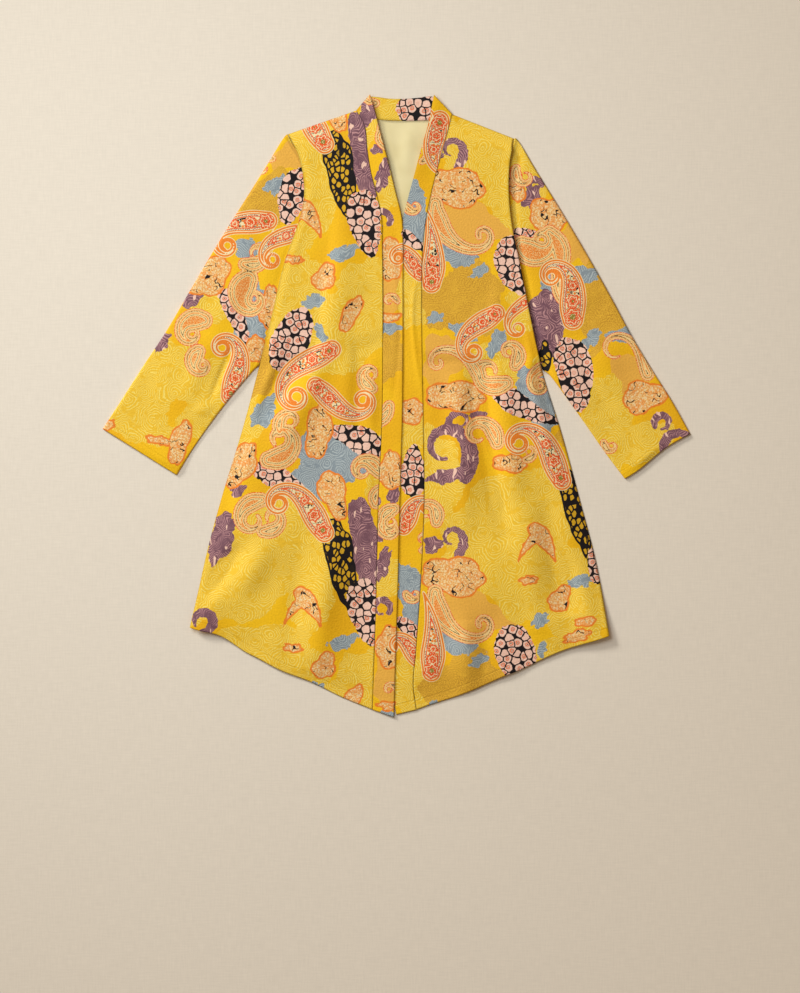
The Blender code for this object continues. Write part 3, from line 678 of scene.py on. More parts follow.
class ShaderGraph:
    """A short way to add shader nodes to one material."""

    def __init__(self, name: str) -> None:
        """Make an empty material with one Principled shader."""
        self.material = bpy.data.materials.new(name)
        self.material.use_nodes = True
        self.tree = self.material.node_tree
        self.shader = self.tree.nodes["Principled BSDF"]

    def _set(self, socket: bpy.types.NodeSocket, value: object) -> None:
        """Link a socket or give it a value."""
        if isinstance(value, bpy.types.NodeSocket):
            self.tree.links.new(value, socket)
        else:
            socket.default_value = value

    def attribute(self, name: str) -> bpy.types.Node:
        """Read a named attribute of the mesh."""
        node = self.tree.nodes.new("ShaderNodeAttribute")
        node.attribute_name = name
        return node

    def math(self, operation: str, *values: object) -> bpy.types.NodeSocket:
        """Add a math node and return its value."""
        node = self.tree.nodes.new("ShaderNodeMath")
        node.operation = operation
        for socket, value in zip(node.inputs, values):
            self._set(socket, value)
        return node.outputs[0]

    def scaled(self, vector: object, x: float, y: float) -> bpy.types.NodeSocket:
        """Stretch a vector along x and y."""
        node = self.tree.nodes.new("ShaderNodeVectorMath")
        node.operation = "MULTIPLY"
        self._set(node.inputs[0], vector)
        node.inputs[1].default_value = (x, y, 1.0)
        return node.outputs[0]

    def shifted(self, vector: object, by: object, amount: float) -> bpy.types.NodeSocket:
        """Push a vector by a colour field, so that a pattern on it wavers."""
        node = self.tree.nodes.new("ShaderNodeVectorMath")
        node.operation = "MULTIPLY_ADD"
        self._set(node.inputs[0], by)
        node.inputs[1].default_value = (amount, amount, 0.0)
        self._set(node.inputs[2], vector)
        return node.outputs[0]

    def band(self, value: object, low: float, high: float) -> bpy.types.NodeSocket:
        """Map low..high to 0..1 with a soft step."""
        node = self.tree.nodes.new("ShaderNodeMapRange")
        node.interpolation_type = "SMOOTHSTEP"
        self._set(node.inputs["Value"], value)
        node.inputs["From Min"].default_value = low
        node.inputs["From Max"].default_value = high
        return node.outputs["Result"]

    def noise(self, vector: object, scale: float, detail: float = 2.0) -> bpy.types.Node:
        """Add a noise texture."""
        node = self.tree.nodes.new("ShaderNodeTexNoise")
        node.inputs["Scale"].default_value = scale
        node.inputs["Detail"].default_value = detail
        self._set(node.inputs["Vector"], vector)
        return node

    def cells(self, vector: object, scale: float, feature: str = "F1", uneven: float = 1.0) -> bpy.types.Node:
        """Add a Voronoi texture."""
        node = self.tree.nodes.new("ShaderNodeTexVoronoi")
        node.voronoi_dimensions = "2D"
        node.feature = feature
        node.inputs["Scale"].default_value = scale
        node.inputs["Randomness"].default_value = uneven
        self._set(node.inputs["Vector"], vector)
        return node

    def mix(self, factor: object, under: object, over: object) -> bpy.types.NodeSocket:
        """Lay one colour over another by a factor."""
        node = self.tree.nodes.new("ShaderNodeMix")
        node.data_type = "RGBA"
        self._set(node.inputs["Factor"], factor)
        colours = [socket for socket in node.inputs if socket.type == "RGBA"]
        self._set(colours[0], under)
        self._set(colours[1], over)
        return next(socket for socket in node.outputs if socket.type == "RGBA")

    def shaded(self, colour: object, value: object) -> bpy.types.NodeSocket:
        """Multiply a colour by a brightness."""
        node = self.tree.nodes.new("ShaderNodeVectorMath")
        node.operation = "SCALE"
        self._set(node.inputs[0], colour)
        self._set(node.inputs["Scale"], value)
        return node.outputs[0]

    def steps(self, value: object, stops: Sequence[tuple[float, tuple]]) -> bpy.types.NodeSocket:
        """Give flat bands of colour along a value from 0 to 1."""
        node = self.tree.nodes.new("ShaderNodeValToRGB")
        node.color_ramp.interpolation = "CONSTANT"
        elements = node.color_ramp.elements
        while len(elements) < len(stops):
            elements.new(1.0)
        for element, (position, colour) in zip(elements, stops):
            element.position = position
            element.color = colour
        self._set(node.inputs[0], value)
        return node.outputs[0]

    def bump(self, height: object, distance: float, strength: float,
             under: object = None) -> bpy.types.NodeSocket:
        """Add a bump node, on top of another where one is given."""
        node = self.tree.nodes.new("ShaderNodeBump")
        node.inputs["Distance"].default_value = distance
        node.inputs["Strength"].default_value = strength
        self._set(node.inputs["Height"], height)
        if under is not None:
            self._set(node.inputs["Normal"], under)
        return node.outputs[0]


# How far in mm each family's edge strays, and the scale of the straying
EDGES = {
    Family.CLOUD: (9.0, 60.0),
    Family.APRICOT: (5.0, 40.0),
    Family.OCHRE: (9.0, 70.0),
    Family.GREY: (6.0, 110.0),
    Family.MAUVE: (3.0, 130.0),
    Family.GOLD_CELLS: (3.2, 45.0),
    Family.PINK_CELLS: (3.0, 170.0),
    Family.TAN: (2.6, 110.0),
    Family.SCROLL: (0.8, 120.0),
    Family.PAISLEY: (0.5, 60.0),
    Family.FLOWER: (0.8, 200.0),
}


@dataclass(frozen=True)
class PrintColours:
    """The print's dyes."""

    gold: tuple = linear(250, 194, 22)
    gold_deep: tuple = linear(242, 180, 20)
    cloud_ground: tuple = linear(242, 192, 49)
    cloud_line: tuple = linear(249, 218, 104)
    apricot: tuple = linear(240, 178, 72)
    ochre: tuple = linear(233, 178, 54)
    ochre_dark: tuple = linear(184, 126, 36)
    grey: tuple = linear(142, 152, 158)
    grey_line: tuple = linear(180, 188, 188)
    mauve: tuple = linear(124, 84, 94)
    mauve_line: tuple = linear(196, 144, 144)
    black: tuple = linear(26, 18, 20)
    pink: tuple = linear(248, 202, 180)
    salmon: tuple = linear(232, 132, 96)
    moss: tuple = linear(96, 96, 70)
    spot_gold: tuple = linear(222, 170, 36)
    tan: tuple = linear(252, 212, 142)
    tan_dark: tuple = linear(234, 158, 80)
    cream: tuple = linear(246, 222, 172)
    orange: tuple = linear(240, 132, 42)
    red_orange: tuple = linear(236, 92, 40)
    olive: tuple = linear(150, 132, 52)


class ContourLines(NamedTuple):
    """Thin lines: centres to a metre, rings to a centre, lines added by a flow, half a line's share."""

    scale: float
    rings: float
    swirl: float
    line: float


@dataclass(frozen=True)
class PrintedCloth:
    """The printed face: its dyes, lines, grain, sheen and painted shade along seams and edges."""

    name: str = "printed_face"
    colours: PrintColours = field(default_factory=PrintColours)
    cloud_lines: ContourLines = ContourLines(25.0, 11.5, 9.5, 0.22)
    ochre_lines: ContourLines = ContourLines(19.0, 16.0, 12.0, 0.26)
    grey_lines: ContourLines = ContourLines(33.0, 11.0, 9.0, 0.28)
    mauve_lines: ContourLines = ContourLines(34.0, 10.5, 9.0, 0.28)
    gold_cell_scale: float = 96.0
    pink_cell_scale: float = 76.0
    pink_unevenness: float = 0.8
    roughness: float = 0.62
    sheen: float = 0.04
    # How far the painted shade along seams, hems and free edges darkens the colour
    painted_shade_depth: float = 0.38
    edge: float = 0.35

    def build(self) -> bpy.types.Material:
        """Make the material."""
        g = ShaderGraph(self.name)
        c = self.colours
        cloth = g.attribute("cloth").outputs["Vector"]
        waver = g.noise(cloth, 55.0, 2.0)
        wavered = g.shifted(cloth, waver.outputs["Color"], 0.010)
        lightly = g.shifted(cloth, g.noise(cloth, 160.0, 1.0).outputs["Color"], 0.0035)

        broad = g.band(g.noise(cloth, 9.0, 1.0).outputs["Fac"], 0.35, 0.65)
        colour = g.mix(broad, c.gold, c.gold_deep)
        colour = self._layer(g, colour, Family.APRICOT, c.apricot)
        colour = self._layer(g, colour, Family.CLOUD, self._clouds(g, c, wavered))
        colour = self._layer(g, colour, Family.OCHRE, self._ochre(g, c, cloth))
        colour = self._layer(g, colour, Family.GREY, self._grey(g, c, wavered))
        colour = self._layer(g, colour, Family.MAUVE, self._mauve(g, c, wavered))
        colour = self._layer(g, colour, Family.GOLD_CELLS, self._gold_cells(g, c, lightly))
        colour = self._layer(g, colour, Family.PINK_CELLS, self._pink_cells(g, c, lightly))
        colour = self._layer(g, colour, Family.TAN, self._tan(g, c, cloth, wavered))
        colour = self._layer(g, colour, Family.SCROLL, self._scroll(g, c, cloth))
        colour = self._layer(g, colour, Family.PAISLEY, self._paisley(g, c, cloth, wavered))
        thread = g.noise(g.scaled(cloth, 1.0, 0.45), 1400.0, 2.0).outputs["Fac"]
        grain = g.band(thread, 0.25, 0.8)
        mottle = g.noise(cloth, 330.0, 3.0).outputs["Fac"]
        shade = g.math("MULTIPLY_ADD", mottle, 0.34, 0.77)
        # Painted shade: the colour darkens within a few mm of seams, hems and free edges, for the shade in
        # seam grooves, at rolled edges and under lapped edges
        clear_of_painted_shade = g.band(g.attribute("edge").outputs["Fac"], -0.6, 2.4)
        painted_edge_shade = g.math("MULTIPLY_ADD", clear_of_painted_shade, self.painted_shade_depth, 1 - self.painted_shade_depth)
        shade = g.math("MULTIPLY", shade, painted_edge_shade)
        colour = g.shaded(colour, g.math("MULTIPLY", shade, g.math("MULTIPLY_ADD", grain, 0.10, 0.93)))
        g.tree.links.new(colour, g.shader.inputs["Base Color"])
        self._finish(g, cloth, grain)
        return g.material

    def _finish(self, g: ShaderGraph, cloth: object, grain: object) -> None:
        """Give the cloth its roughness, sheen, grain and stitches."""
        rough = g.math("MULTIPLY_ADD", grain, 0.14, self.roughness)
        g.tree.links.new(rough, g.shader.inputs["Roughness"])
        g.shader.inputs["Sheen Weight"].default_value = self.sheen
        g.shader.inputs["Sheen Roughness"].default_value = 0.45
        g.shader.inputs["Specular IOR Level"].default_value = 0.16
        crepe = g.noise(cloth, 360.0, 3.0).outputs["Fac"]
        normal = g.bump(crepe, 0.0011, 0.6)
        normal = g.bump(grain, 0.0002, 0.4, normal)
        stitch = self._stitches(g)
        normal = g.bump(stitch, 0.0004, 0.8, normal)
        g.tree.links.new(normal, g.shader.inputs["Normal"])

    def _stitches(self, g: ShaderGraph) -> bpy.types.NodeSocket:
        """Return the height of the hem's stitches: a dent with short raised threads."""
        across = g.math("ABSOLUTE", g.attribute("stitch").outputs["Fac"])
        run = g.attribute("run").outputs["Fac"]
        step = g.math("FRACT", g.math("DIVIDE", run, 2.8))
        raised = g.band(g.math("ABSOLUTE", g.math("SUBTRACT", step, 0.5)), 0.42, 0.30)
        thread = g.math("MULTIPLY", g.band(across, 0.55, 0.2), raised)
        dent = g.band(across, 1.6, 0.3)
        return g.math("SUBTRACT", thread, dent)

    def _layer(self, g: ShaderGraph, under: object, family: Family, over: object) -> bpy.types.NodeSocket:
        """Lay one family of motifs over what is beneath, with its edge as ragged as it prints."""
        ragged, grain = EDGES[family]
        cloth = g.attribute("cloth").outputs["Vector"]
        stray = g.math("SUBTRACT", g.noise(cloth, grain, 1.0).outputs["Fac"], 0.5)
        reach = g.math("MULTIPLY_ADD", stray, 2 * ragged, g.attribute(family.value).outputs["Fac"])
        return g.mix(g.band(reach, self.edge, -self.edge), under, over)

    def _depth(self, g: ShaderGraph, family: Family, reach: float) -> bpy.types.NodeSocket:
        """Return the depth inside a family's outline, 0 at the edge and 1 at reach mm."""
        return g.math("DIVIDE", g.attribute(family.value).outputs["Fac"], -reach)

    def _contours(self, g: ShaderGraph, vector: object, lines: ContourLines) -> bpy.types.NodeSocket:
        """Return thin contour lines: rings round scattered centres, bent by a flow.

        Args:
            g: The material's graph.
            vector: Where on the cloth.
            lines: How close and how wide the lines are.

        Returns:
            A mask of the lines.
        """
        reach = g.cells(vector, lines.scale).outputs["Distance"]
        flow = g.noise(vector, lines.scale * 0.8, 2.0).outputs["Fac"]
        level = g.math("MULTIPLY_ADD", reach, lines.rings, g.math("MULTIPLY", flow, lines.swirl))
        off = g.math("ABSOLUTE", g.math("SUBTRACT", g.math("FRACT", level), 0.5))
        gaps = g.band(g.noise(vector, lines.scale * 3.2, 1.0).outputs["Fac"], 0.36, 0.43)
        return g.math("MULTIPLY", g.band(off, lines.line, lines.line * 0.45), gaps)

    def _clouds(self, g: ShaderGraph, c: PrintColours, wavered: object) -> bpy.types.NodeSocket:
        """Pale contour lines on gold."""
        lines = self._contours(g, wavered, self.cloud_lines)
        return g.mix(lines, c.cloud_ground, c.cloud_line)

    def _ochre(self, g: ShaderGraph, c: PrintColours, cloth: object) -> bpy.types.NodeSocket:
        """Fine dark dashes in whorls on ochre."""
        broken = g.noise(cloth, 30.0, 2.0).outputs["Fac"]
        dashes = g.cells(g.scaled(cloth, 1.0, 1.7), 330.0).outputs["Distance"]
        fine = g.math("MULTIPLY", g.band(dashes, 0.34, 0.20), g.band(broken, 0.25, 0.65))
        colour = g.mix(g.math("MULTIPLY", fine, 0.85), c.ochre, c.ochre_dark)
        whorls = self._contours(g, cloth, self.ochre_lines)
        return g.mix(g.math("MULTIPLY", whorls, 0.35), colour, c.ochre_dark)

    def _grey(self, g: ShaderGraph, c: PrintColours, wavered: object) -> bpy.types.NodeSocket:
        """Fine pale wavy lines on grey blue."""
        lines = self._contours(g, g.scaled(wavered, 1.0, 0.8), self.grey_lines)
        return g.mix(lines, c.grey, c.grey_line)

    def _mauve(self, g: ShaderGraph, c: PrintColours, wavered: object) -> bpy.types.NodeSocket:
        """Fine pink contour lines on mauve."""
        lines = self._contours(g, g.scaled(wavered, 1.0, 0.8), self.mauve_lines)
        patchy = g.band(g.noise(wavered, 45.0, 1.0).outputs["Fac"], 0.20, 0.60)
        flame = g.band(g.noise(g.scaled(wavered, 1.5, 0.5), 95.0, 0.0).outputs["Fac"], 0.705, 0.73)
        colour = g.mix(g.math("MULTIPLY", lines, patchy), c.mauve, c.mauve_line)
        return g.mix(flame, colour, c.pink)

    def _gold_cells(self, g: ShaderGraph, c: PrintColours, lightly: object) -> bpy.types.NodeSocket:
        """Uneven golden spots on black."""
        place = g.scaled(lightly, 1.25, 0.85)
        walls = g.cells(place, self.gold_cell_scale, "DISTANCE_TO_EDGE").outputs["Distance"]
        middle = g.cells(place, self.gold_cell_scale)
        kept = g.band(middle.outputs["Color"], 0.16, 0.20)
        rounded = g.band(middle.outputs["Distance"], 0.47, 0.41)
        spots = g.math("MULTIPLY", g.band(walls, 0.11, 0.15), rounded)
        inner = g.band(g.attribute(Family.GOLD_CELLS.value).outputs["Fac"], -2.4, -3.6)
        spots = g.math("MULTIPLY", g.math("MULTIPLY", spots, kept), inner)
        return g.mix(spots, c.black, c.spot_gold)

    def _pink_cells(self, g: ShaderGraph, c: PrintColours, lightly: object) -> bpy.types.NodeSocket:
        """Rounded pink cells on black, some with a salmon ring and a green grey dot."""
        scale, uneven = self.pink_cell_scale, self.pink_unevenness
        walls = g.cells(lightly, scale, "DISTANCE_TO_EDGE", uneven).outputs["Distance"]
        middle = g.cells(lightly, scale, "F1", uneven)
        heart = middle.outputs["Distance"]
        ringed = g.band(middle.outputs["Color"], 0.35, 0.40)
        from_ring = g.math("ABSOLUTE", g.math("SUBTRACT", heart, 0.20))
        ring = g.math("MULTIPLY", g.band(from_ring, 0.09, 0.05), ringed)
        cell = g.mix(ring, c.pink, c.salmon)
        cell = g.mix(g.math("MULTIPLY", g.band(heart, 0.09, 0.05), ringed), cell, c.moss)
        shape = g.math("MULTIPLY", g.band(walls, 0.06, 0.10), g.band(heart, 0.57, 0.51))
        return g.mix(shape, c.black, cell)

    def _tan(self, g: ShaderGraph, c: PrintColours, cloth: object, wavered: object) -> bpy.types.NodeSocket:
        """Sandy stipple, black cracks and an orange edge."""
        sand = g.band(g.noise(cloth, 430.0, 2.0).outputs["Fac"], 0.42, 0.62)
        colour = g.mix(sand, c.tan_dark, c.tan)
        warm = g.band(g.noise(cloth, 75.0, 2.0).outputs["Fac"], 0.45, 0.62)
        colour = g.mix(g.math("MULTIPLY", warm, 0.45), colour, c.orange)
        pale = g.band(g.cells(wavered, 170.0).outputs["Distance"], 0.30, 0.20)
        colour = g.mix(g.math("MULTIPLY", pale, 0.7), colour, c.cream)
        flow = g.noise(wavered, 62.0, 1.0).outputs["Fac"]
        crack = g.band(g.math("ABSOLUTE", g.math("SUBTRACT", flow, 0.5)), 0.024, 0.012)
        where = g.band(g.noise(cloth, 58.0, 0.0).outputs["Fac"], 0.52, 0.55)
        colour = g.mix(g.math("MULTIPLY", crack, where), colour, c.black)
        rim = g.band(g.attribute(Family.TAN.value).outputs["Fac"], -3.4, -2.2)
        return g.mix(rim, colour, c.orange)

    def _scroll(self, g: ShaderGraph, c: PrintColours, cloth: object) -> bpy.types.NodeSocket:
        """Nested bands of orange, tan and black dashes inside the scrolls."""
        depth = self._depth(g, Family.SCROLL, 16.0)
        stops = (
            (0.0, c.red_orange), (0.09, c.tan), (0.17, c.tan_dark), (0.29, c.black), (0.34, c.tan),
            (0.44, c.orange), (0.56, c.tan), (0.66, c.black), (0.71, c.tan), (0.80, c.orange),
        )
        colour = g.steps(depth, stops)
        sand = g.band(g.noise(cloth, 520.0, 1.0).outputs["Fac"], 0.46, 0.60)
        return g.mix(g.math("MULTIPLY", sand, 0.75), colour, c.tan)

    def _paisley(self, g: ShaderGraph, c: PrintColours, cloth: object,
                 wavered: object) -> bpy.types.NodeSocket:
        """Bands of orange, cream and dots round a cream heart with flowers."""
        depth = self._depth(g, Family.PAISLEY, 20.0)
        stops = (
            (0.0, c.cream), (0.05, c.orange), (0.19, c.cream), (0.26, c.orange),
            (0.34, c.cream), (0.46, c.red_orange), (0.54, c.cream),
        )
        colour = g.steps(depth, stops)
        dots = g.cells(cloth, 380.0, "F1", 0.5).outputs["Distance"]
        dotted = g.math("MULTIPLY", g.band(depth, 0.34, 0.35), g.band(depth, 0.46, 0.45))
        colour = g.mix(g.math("MULTIPLY", g.band(dots, 0.40, 0.28), dotted), colour, c.mauve)
        heart = g.band(depth, 0.54, 0.58)
        flow = g.noise(wavered, 120.0, 1.0).outputs["Fac"]
        squiggle = g.band(g.math("ABSOLUTE", g.math("SUBTRACT", flow, 0.5)), 0.035, 0.02)
        colour = g.mix(g.math("MULTIPLY", squiggle, heart), colour, c.black)
        specks = g.band(g.cells(cloth, 150.0).outputs["Distance"], 0.34, 0.26)
        colour = g.mix(g.math("MULTIPLY", specks, heart), colour, c.orange)
        bloom = g.attribute(Family.FLOWER.value).outputs["Fac"]
        flower = g.steps(g.math("DIVIDE", bloom, -8.0), (
            (0.0, c.red_orange), (0.32, c.cream), (0.44, c.red_orange), (0.90, c.olive),
        ))
        petal_dots = g.band(g.cells(cloth, 300.0).outputs["Distance"], 0.24, 0.14)
        flower = g.mix(petal_dots, flower, c.cream)
        return g.mix(g.band(bloom, self.edge, -self.edge), colour, flower)


@dataclass(frozen=True)
class PlainReverse:
    """The pale wrong side of the cloth, where the print barely shows through."""

    name: str = "pale_reverse"
    colour: tuple = linear(232, 215, 164)
    shade: tuple = linear(218, 199, 144)
    ghost: tuple = linear(170, 160, 130)
    thread: tuple = linear(255, 244, 214)
    roughness: float = 0.8

    def build(self) -> bpy.types.Material:
        """Make the material."""
        g = ShaderGraph(self.name)
        cloth = g.attribute("cloth").outputs["Vector"]
        broad = g.band(g.noise(cloth, 16.0, 2.0).outputs["Fac"], 0.3, 0.7)
        colour = g.mix(broad, self.colour, self.shade)
        beneath = g.band(g.attribute(Family.PINK_CELLS.value).outputs["Fac"], 2.0, -3.0)
        colour = g.mix(g.math("MULTIPLY", beneath, 0.10), colour, self.ghost)
        grain = g.noise(g.scaled(cloth, 1.0, 0.45), 1400.0, 2.0).outputs["Fac"]
        colour = g.mix(g.math("MULTIPLY", grain, 0.10), colour, self.thread)
        g.tree.links.new(colour, g.shader.inputs["Base Color"])
        g.shader.inputs["Roughness"].default_value = self.roughness
        g.shader.inputs["Sheen Weight"].default_value = 0.12
        g.shader.inputs["Specular IOR Level"].default_value = 0.2
        g.tree.links.new(g.bump(grain, 0.0003, 0.4), g.shader.inputs["Normal"])
        return g.material


@dataclass(frozen=True)
class FloorFinish:
    """The plain pale floor."""

    name: str = "pale_floor"
    colour: tuple = linear(226, 213, 197)
    lighter: tuple = linear(238, 226, 208)
    roughness: float = 0.92

    def build(self) -> bpy.types.Material:
        """Make the material."""
        g = ShaderGraph(self.name)
        place = g.tree.nodes.new("ShaderNodeTexCoord").outputs["Object"]
        soft = g.noise(place, 3.0, 2.0).outputs["Fac"]
        warp = g.noise(g.scaled(place, 1.0, 0.10), 420.0, 1.0).outputs["Fac"]
        weft = g.noise(g.scaled(place, 0.10, 1.0), 420.0, 1.0).outputs["Fac"]
        colour = g.mix(g.math("MULTIPLY", soft, 0.10), self.colour, self.lighter)
        colour = g.shaded(colour, g.math("MULTIPLY_ADD", g.math("ADD", warp, weft), 0.10, 0.90))
        g.tree.links.new(colour, g.shader.inputs["Base Color"])
        g.shader.inputs["Roughness"].default_value = self.roughness
        g.shader.inputs["Specular IOR Level"].default_value = 0.1
        weave = g.noise(place, 700.0, 2.0).outputs["Fac"]
        g.tree.links.new(g.bump(weave, 0.0005, 0.25), g.shader.inputs["Normal"])
        return g.material


class BodySection(NamedTuple):
    """One level of a half of the body, in mm: side or armhole, band seam and free edge."""

    level: str
    side_x: float
    side_y: float
    seam_x: float
    seam_y: float
    free_x: float
    free_y: float


class SleeveSection(NamedTuple):
    """One level of a sleeve, in mm: its outer fold and its inner seam."""

    level: str
    outer_x: float
    outer_y: float
    inner_x: float
    inner_y: float


RIGHT_SECTIONS = (
    BodySection("hem", -340, -365, -39, -501, -4, -513),
    BodySection("low", -328, -312, -36, -411, -1, -412),
    BodySection("flare", -314, -248, -33, -320, 2, -320),
    BodySection("hip", -286, -144, -29, -155, 6, -155),
    BodySection("waist", -253, -36, -23, -15, 10, -13),
    BodySection("underarm", -226, 66, -22, 109, 11, 112),
    BodySection("chest", -205, 150, -22, 191, 11, 195),
    BodySection("across", -184, 238, -23, 266, 11, 273),
    BodySection("armhole", -161, 304, -25, 315, 8, 316),
    BodySection("mid_armhole", -152, 346, -33, 351, -1, 352),
    BodySection("yoke", -154, 382, -42, 386, -10, 388),
    BodySection("high", -162, 414, -48, 426, -20, 427),
    BodySection("collar", -170, 432, -52, 462, -30, 465),
    BodySection("shoulder", -179, 448, -66, 487, -43, 513),
)
LEFT_SECTIONS = (
    BodySection("hem", 351, -379, 33, -501, 0, -509),
    BodySection("kick", 347, -355, 28, -462, -8, -468),
    BodySection("low", 341, -318, 32, -408, -7, -411),
    BodySection("flare", 331, -264, 39, -312, -2, -313),
    BodySection("hip", 302, -152, 46, -163, 2, -160),
    BodySection("waist", 273, -46, 45, -43, 5, -36),
    BodySection("underarm", 240, 60, 43, 73, 6, 82),
    BodySection("chest", 221, 145, 42, 167, 6, 175),
    BodySection("across", 204, 231, 43, 244, 6, 261),
    BodySection("armhole", 191, 294, 48, 300, 10, 305),
    BodySection("mid_armhole", 186, 335, 56, 342, 20, 345),
    BodySection("yoke", 185, 370, 65, 380, 31, 386),
    BodySection("high", 187, 403, 75, 416, 42, 427),
    BodySection("collar", 191, 424, 85, 452, 53, 466),
    BodySection("shoulder", 194, 441, 92, 481, 62, 512),
)
RIGHT_SLEEVE_SECTIONS = (
    SleeveSection("cuff", -484, -38, -362, -114),
    SleeveSection("wrist", -451, 13, -335, -70),
    SleeveSection("forearm", -415, 69, -304, -26),
    SleeveSection("elbow", -378, 125, -271, 17),
    SleeveSection("biceps", -337, 195, -242, 51),
    SleeveSection("upper", -293, 269, -233, 61),
    SleeveSection("high", -248, 341, -229, 64),
    SleeveSection("shoulder", -179, 448, -226, 66),
)
LEFT_SLEEVE_SECTIONS = (
    SleeveSection("cuff", 484, -45, 376, -119),
    SleeveSection("wrist", 455, 7, 345, -78),
    SleeveSection("forearm", 422, 59, 315, -35),
    SleeveSection("elbow", 387, 117, 283, 10),
    SleeveSection("biceps", 351, 184, 254, 49),
    SleeveSection("upper", 308, 260, 246, 56),
    SleeveSection("high", 265, 332, 243, 58),
    SleeveSection("shoulder", 194, 441, 240, 60),
)
# Back neck from the wearer's right to left, in mm: lower x and y, then upper x and y
BACK_NECK = (
    (-61, 482, -42, 510),
    (-49, 475, -30, 509),
    (-30, 472, -17, 507),
    (11, 470, 9, 506),
    (50, 471, 37, 508),
    (72, 473, 50, 510),
    (86, 477, 60, 510),
)

FRONT_FOLDS = (
    Fold("right_chest_fall", -121, 330, -139, 190, -152, 90, 22, -4.6),
    Fold("right_chest_roll", -88, 310, -100, 190, -108, 70, 24, 2.2),
    Fold("right_waist_drag", -148, 112, -188, 40, -234, -36, 17, -5.2),
    Fold("right_waist_roll", -116, 90, -150, 14, -192, -74, 21, 3.4),
    Fold("right_side_pull", -196, 96, -226, 20, -262, -70, 12, 2.2),
    Fold("right_hip_drag", -251, -228, -286, -270, -318, -318, 16, -5.0),
    Fold("right_hip_roll", -208, -215, -232, -262, -262, -312, 22, 3.6),
    Fold("right_skirt_fall", -104, -210, -118, -320, -131, -430, 22, 3.8),
    Fold("right_skirt_trough", -156, -220, -166, -320, -176, -420, 20, -2.6),
    Fold("right_band_pull", -48, 150, -60, 60, -64, -60, 14, -3.0),
    Fold("left_waist_fall", 138, 96, 146, -40, 180, -210, 17, -5.0),
    Fold("left_waist_roll", 172, 80, 182, -40, 214, -200, 22, 3.4),
    Fold("left_waist_pull", 96, 60, 104, -60, 118, -190, 18, 3.0),
    Fold("left_hem_fall", 80, -360, 80, -420, 81, -486, 14, -3.0),
    Fold("left_hem_roll", 112, -350, 115, -410, 120, -472, 16, 2.8),
    Fold("left_hem_fall_2", 146, -360, 150, -410, 157, -450, 14, -2.6),
    Fold("left_chest_fall", 118, 330, 122, 230, 130, 140, 22, -3.6),
    Fold("left_chest_roll", 162, 300, 164, 200, 176, 120, 20, 2.4),
    Fold("left_side_roll", 216, 140, 232, 40, 268, -90, 16, 3.4),
    Fold("left_skirt_fall", 244, -150, 268, -260, 288, -350, 20, -4.2),
    Fold("left_skirt_roll", 206, -190, 222, -290, 232, -380, 22, 2.2),
)
NECK_FOLDS = (
    Fold("neck_roll", 26, 462, 18, 420, 14, 378, 13, 2.0),
    Fold("neck_roll_by_collar", -20, 458, -8, 420, 2, 385, 9, 1.4),
)
BAND_FOLDS = (
    Fold("crease", -3, 299, 6, 150, -6, 10, 4.5, -1.1),
    Fold("strip_edge", 34, 208, 27, 135, 42, 20, 4, 1.5),
)
# Places where the hem stands off the floor, in mm: x, y, reach and height.
# The front and the back are both lifted there.
HEM_LIFTS = (
    (-336, -366, 54, 9.0),
    (-190, -428, 50, 2.2),
    (350, -381, 54, 8.5),
    (170, -448, 55, 2.2),
)
SLEEVE_FOLDS = (
    Fold("right_elbow_crease", -269, 97, -288, 55, -306, 11, 5, -2.6),
    Fold("right_elbow_roll", -300, 120, -322, 70, -344, 20, 16, 2.0),
    Fold("right_inner_fold", -327, -17, -318, -6, -303, -10, 12, 2.2),
    Fold("right_upper_roll", -250, 250, -272, 180, -292, 120, 22, 2.4),
    Fold("right_upper_fall", -222, 280, -240, 200, -256, 130, 16, -1.8),
    Fold("left_elbow_crease", 290, 110, 312, 62, 340, 10, 10, -2.8),
    Fold("left_elbow_roll", 322, 130, 348, 70, 378, 10, 16, 2.0),
    Fold("left_upper_roll", 262, 240, 290, 170, 322, 110, 22, 2.4),
    Fold("left_upper_fall", 238, 270, 254, 200, 270, 130, 14, -1.8),
    Fold("left_cuff_lift", 396, -100, 420, -86, 440, -74, 18, 2.4),
)

BACK_SWELL = Swell(90 * MM, 0.35 * MM)
FRONT_SWELLS = (Swell(150 * MM, 1.6 * MM), Swell(55 * MM, 0.36 * MM))
SLEEVE_SWELLS = (Swell(120 * MM, 0.9 * MM), Swell(45 * MM, 0.26 * MM))
BAND_SWELL = Swell(50 * MM, 0.15 * MM)
NECK_BAND_SWELL = Swell(40 * MM, 0.12 * MM)
BAND_SEAM_PUCKER = Pucker(22 * MM, 12 * MM, 0.22 * MM)
SIDE_SEAM_PUCKER = Pucker(26 * MM, 14 * MM, 0.25 * MM)
HEM_PUCKER = Pucker(50 * MM, 20 * MM, 0.5 * MM)
BAND_PUCKER = Pucker(20 * MM, 10 * MM, 0.2 * MM)


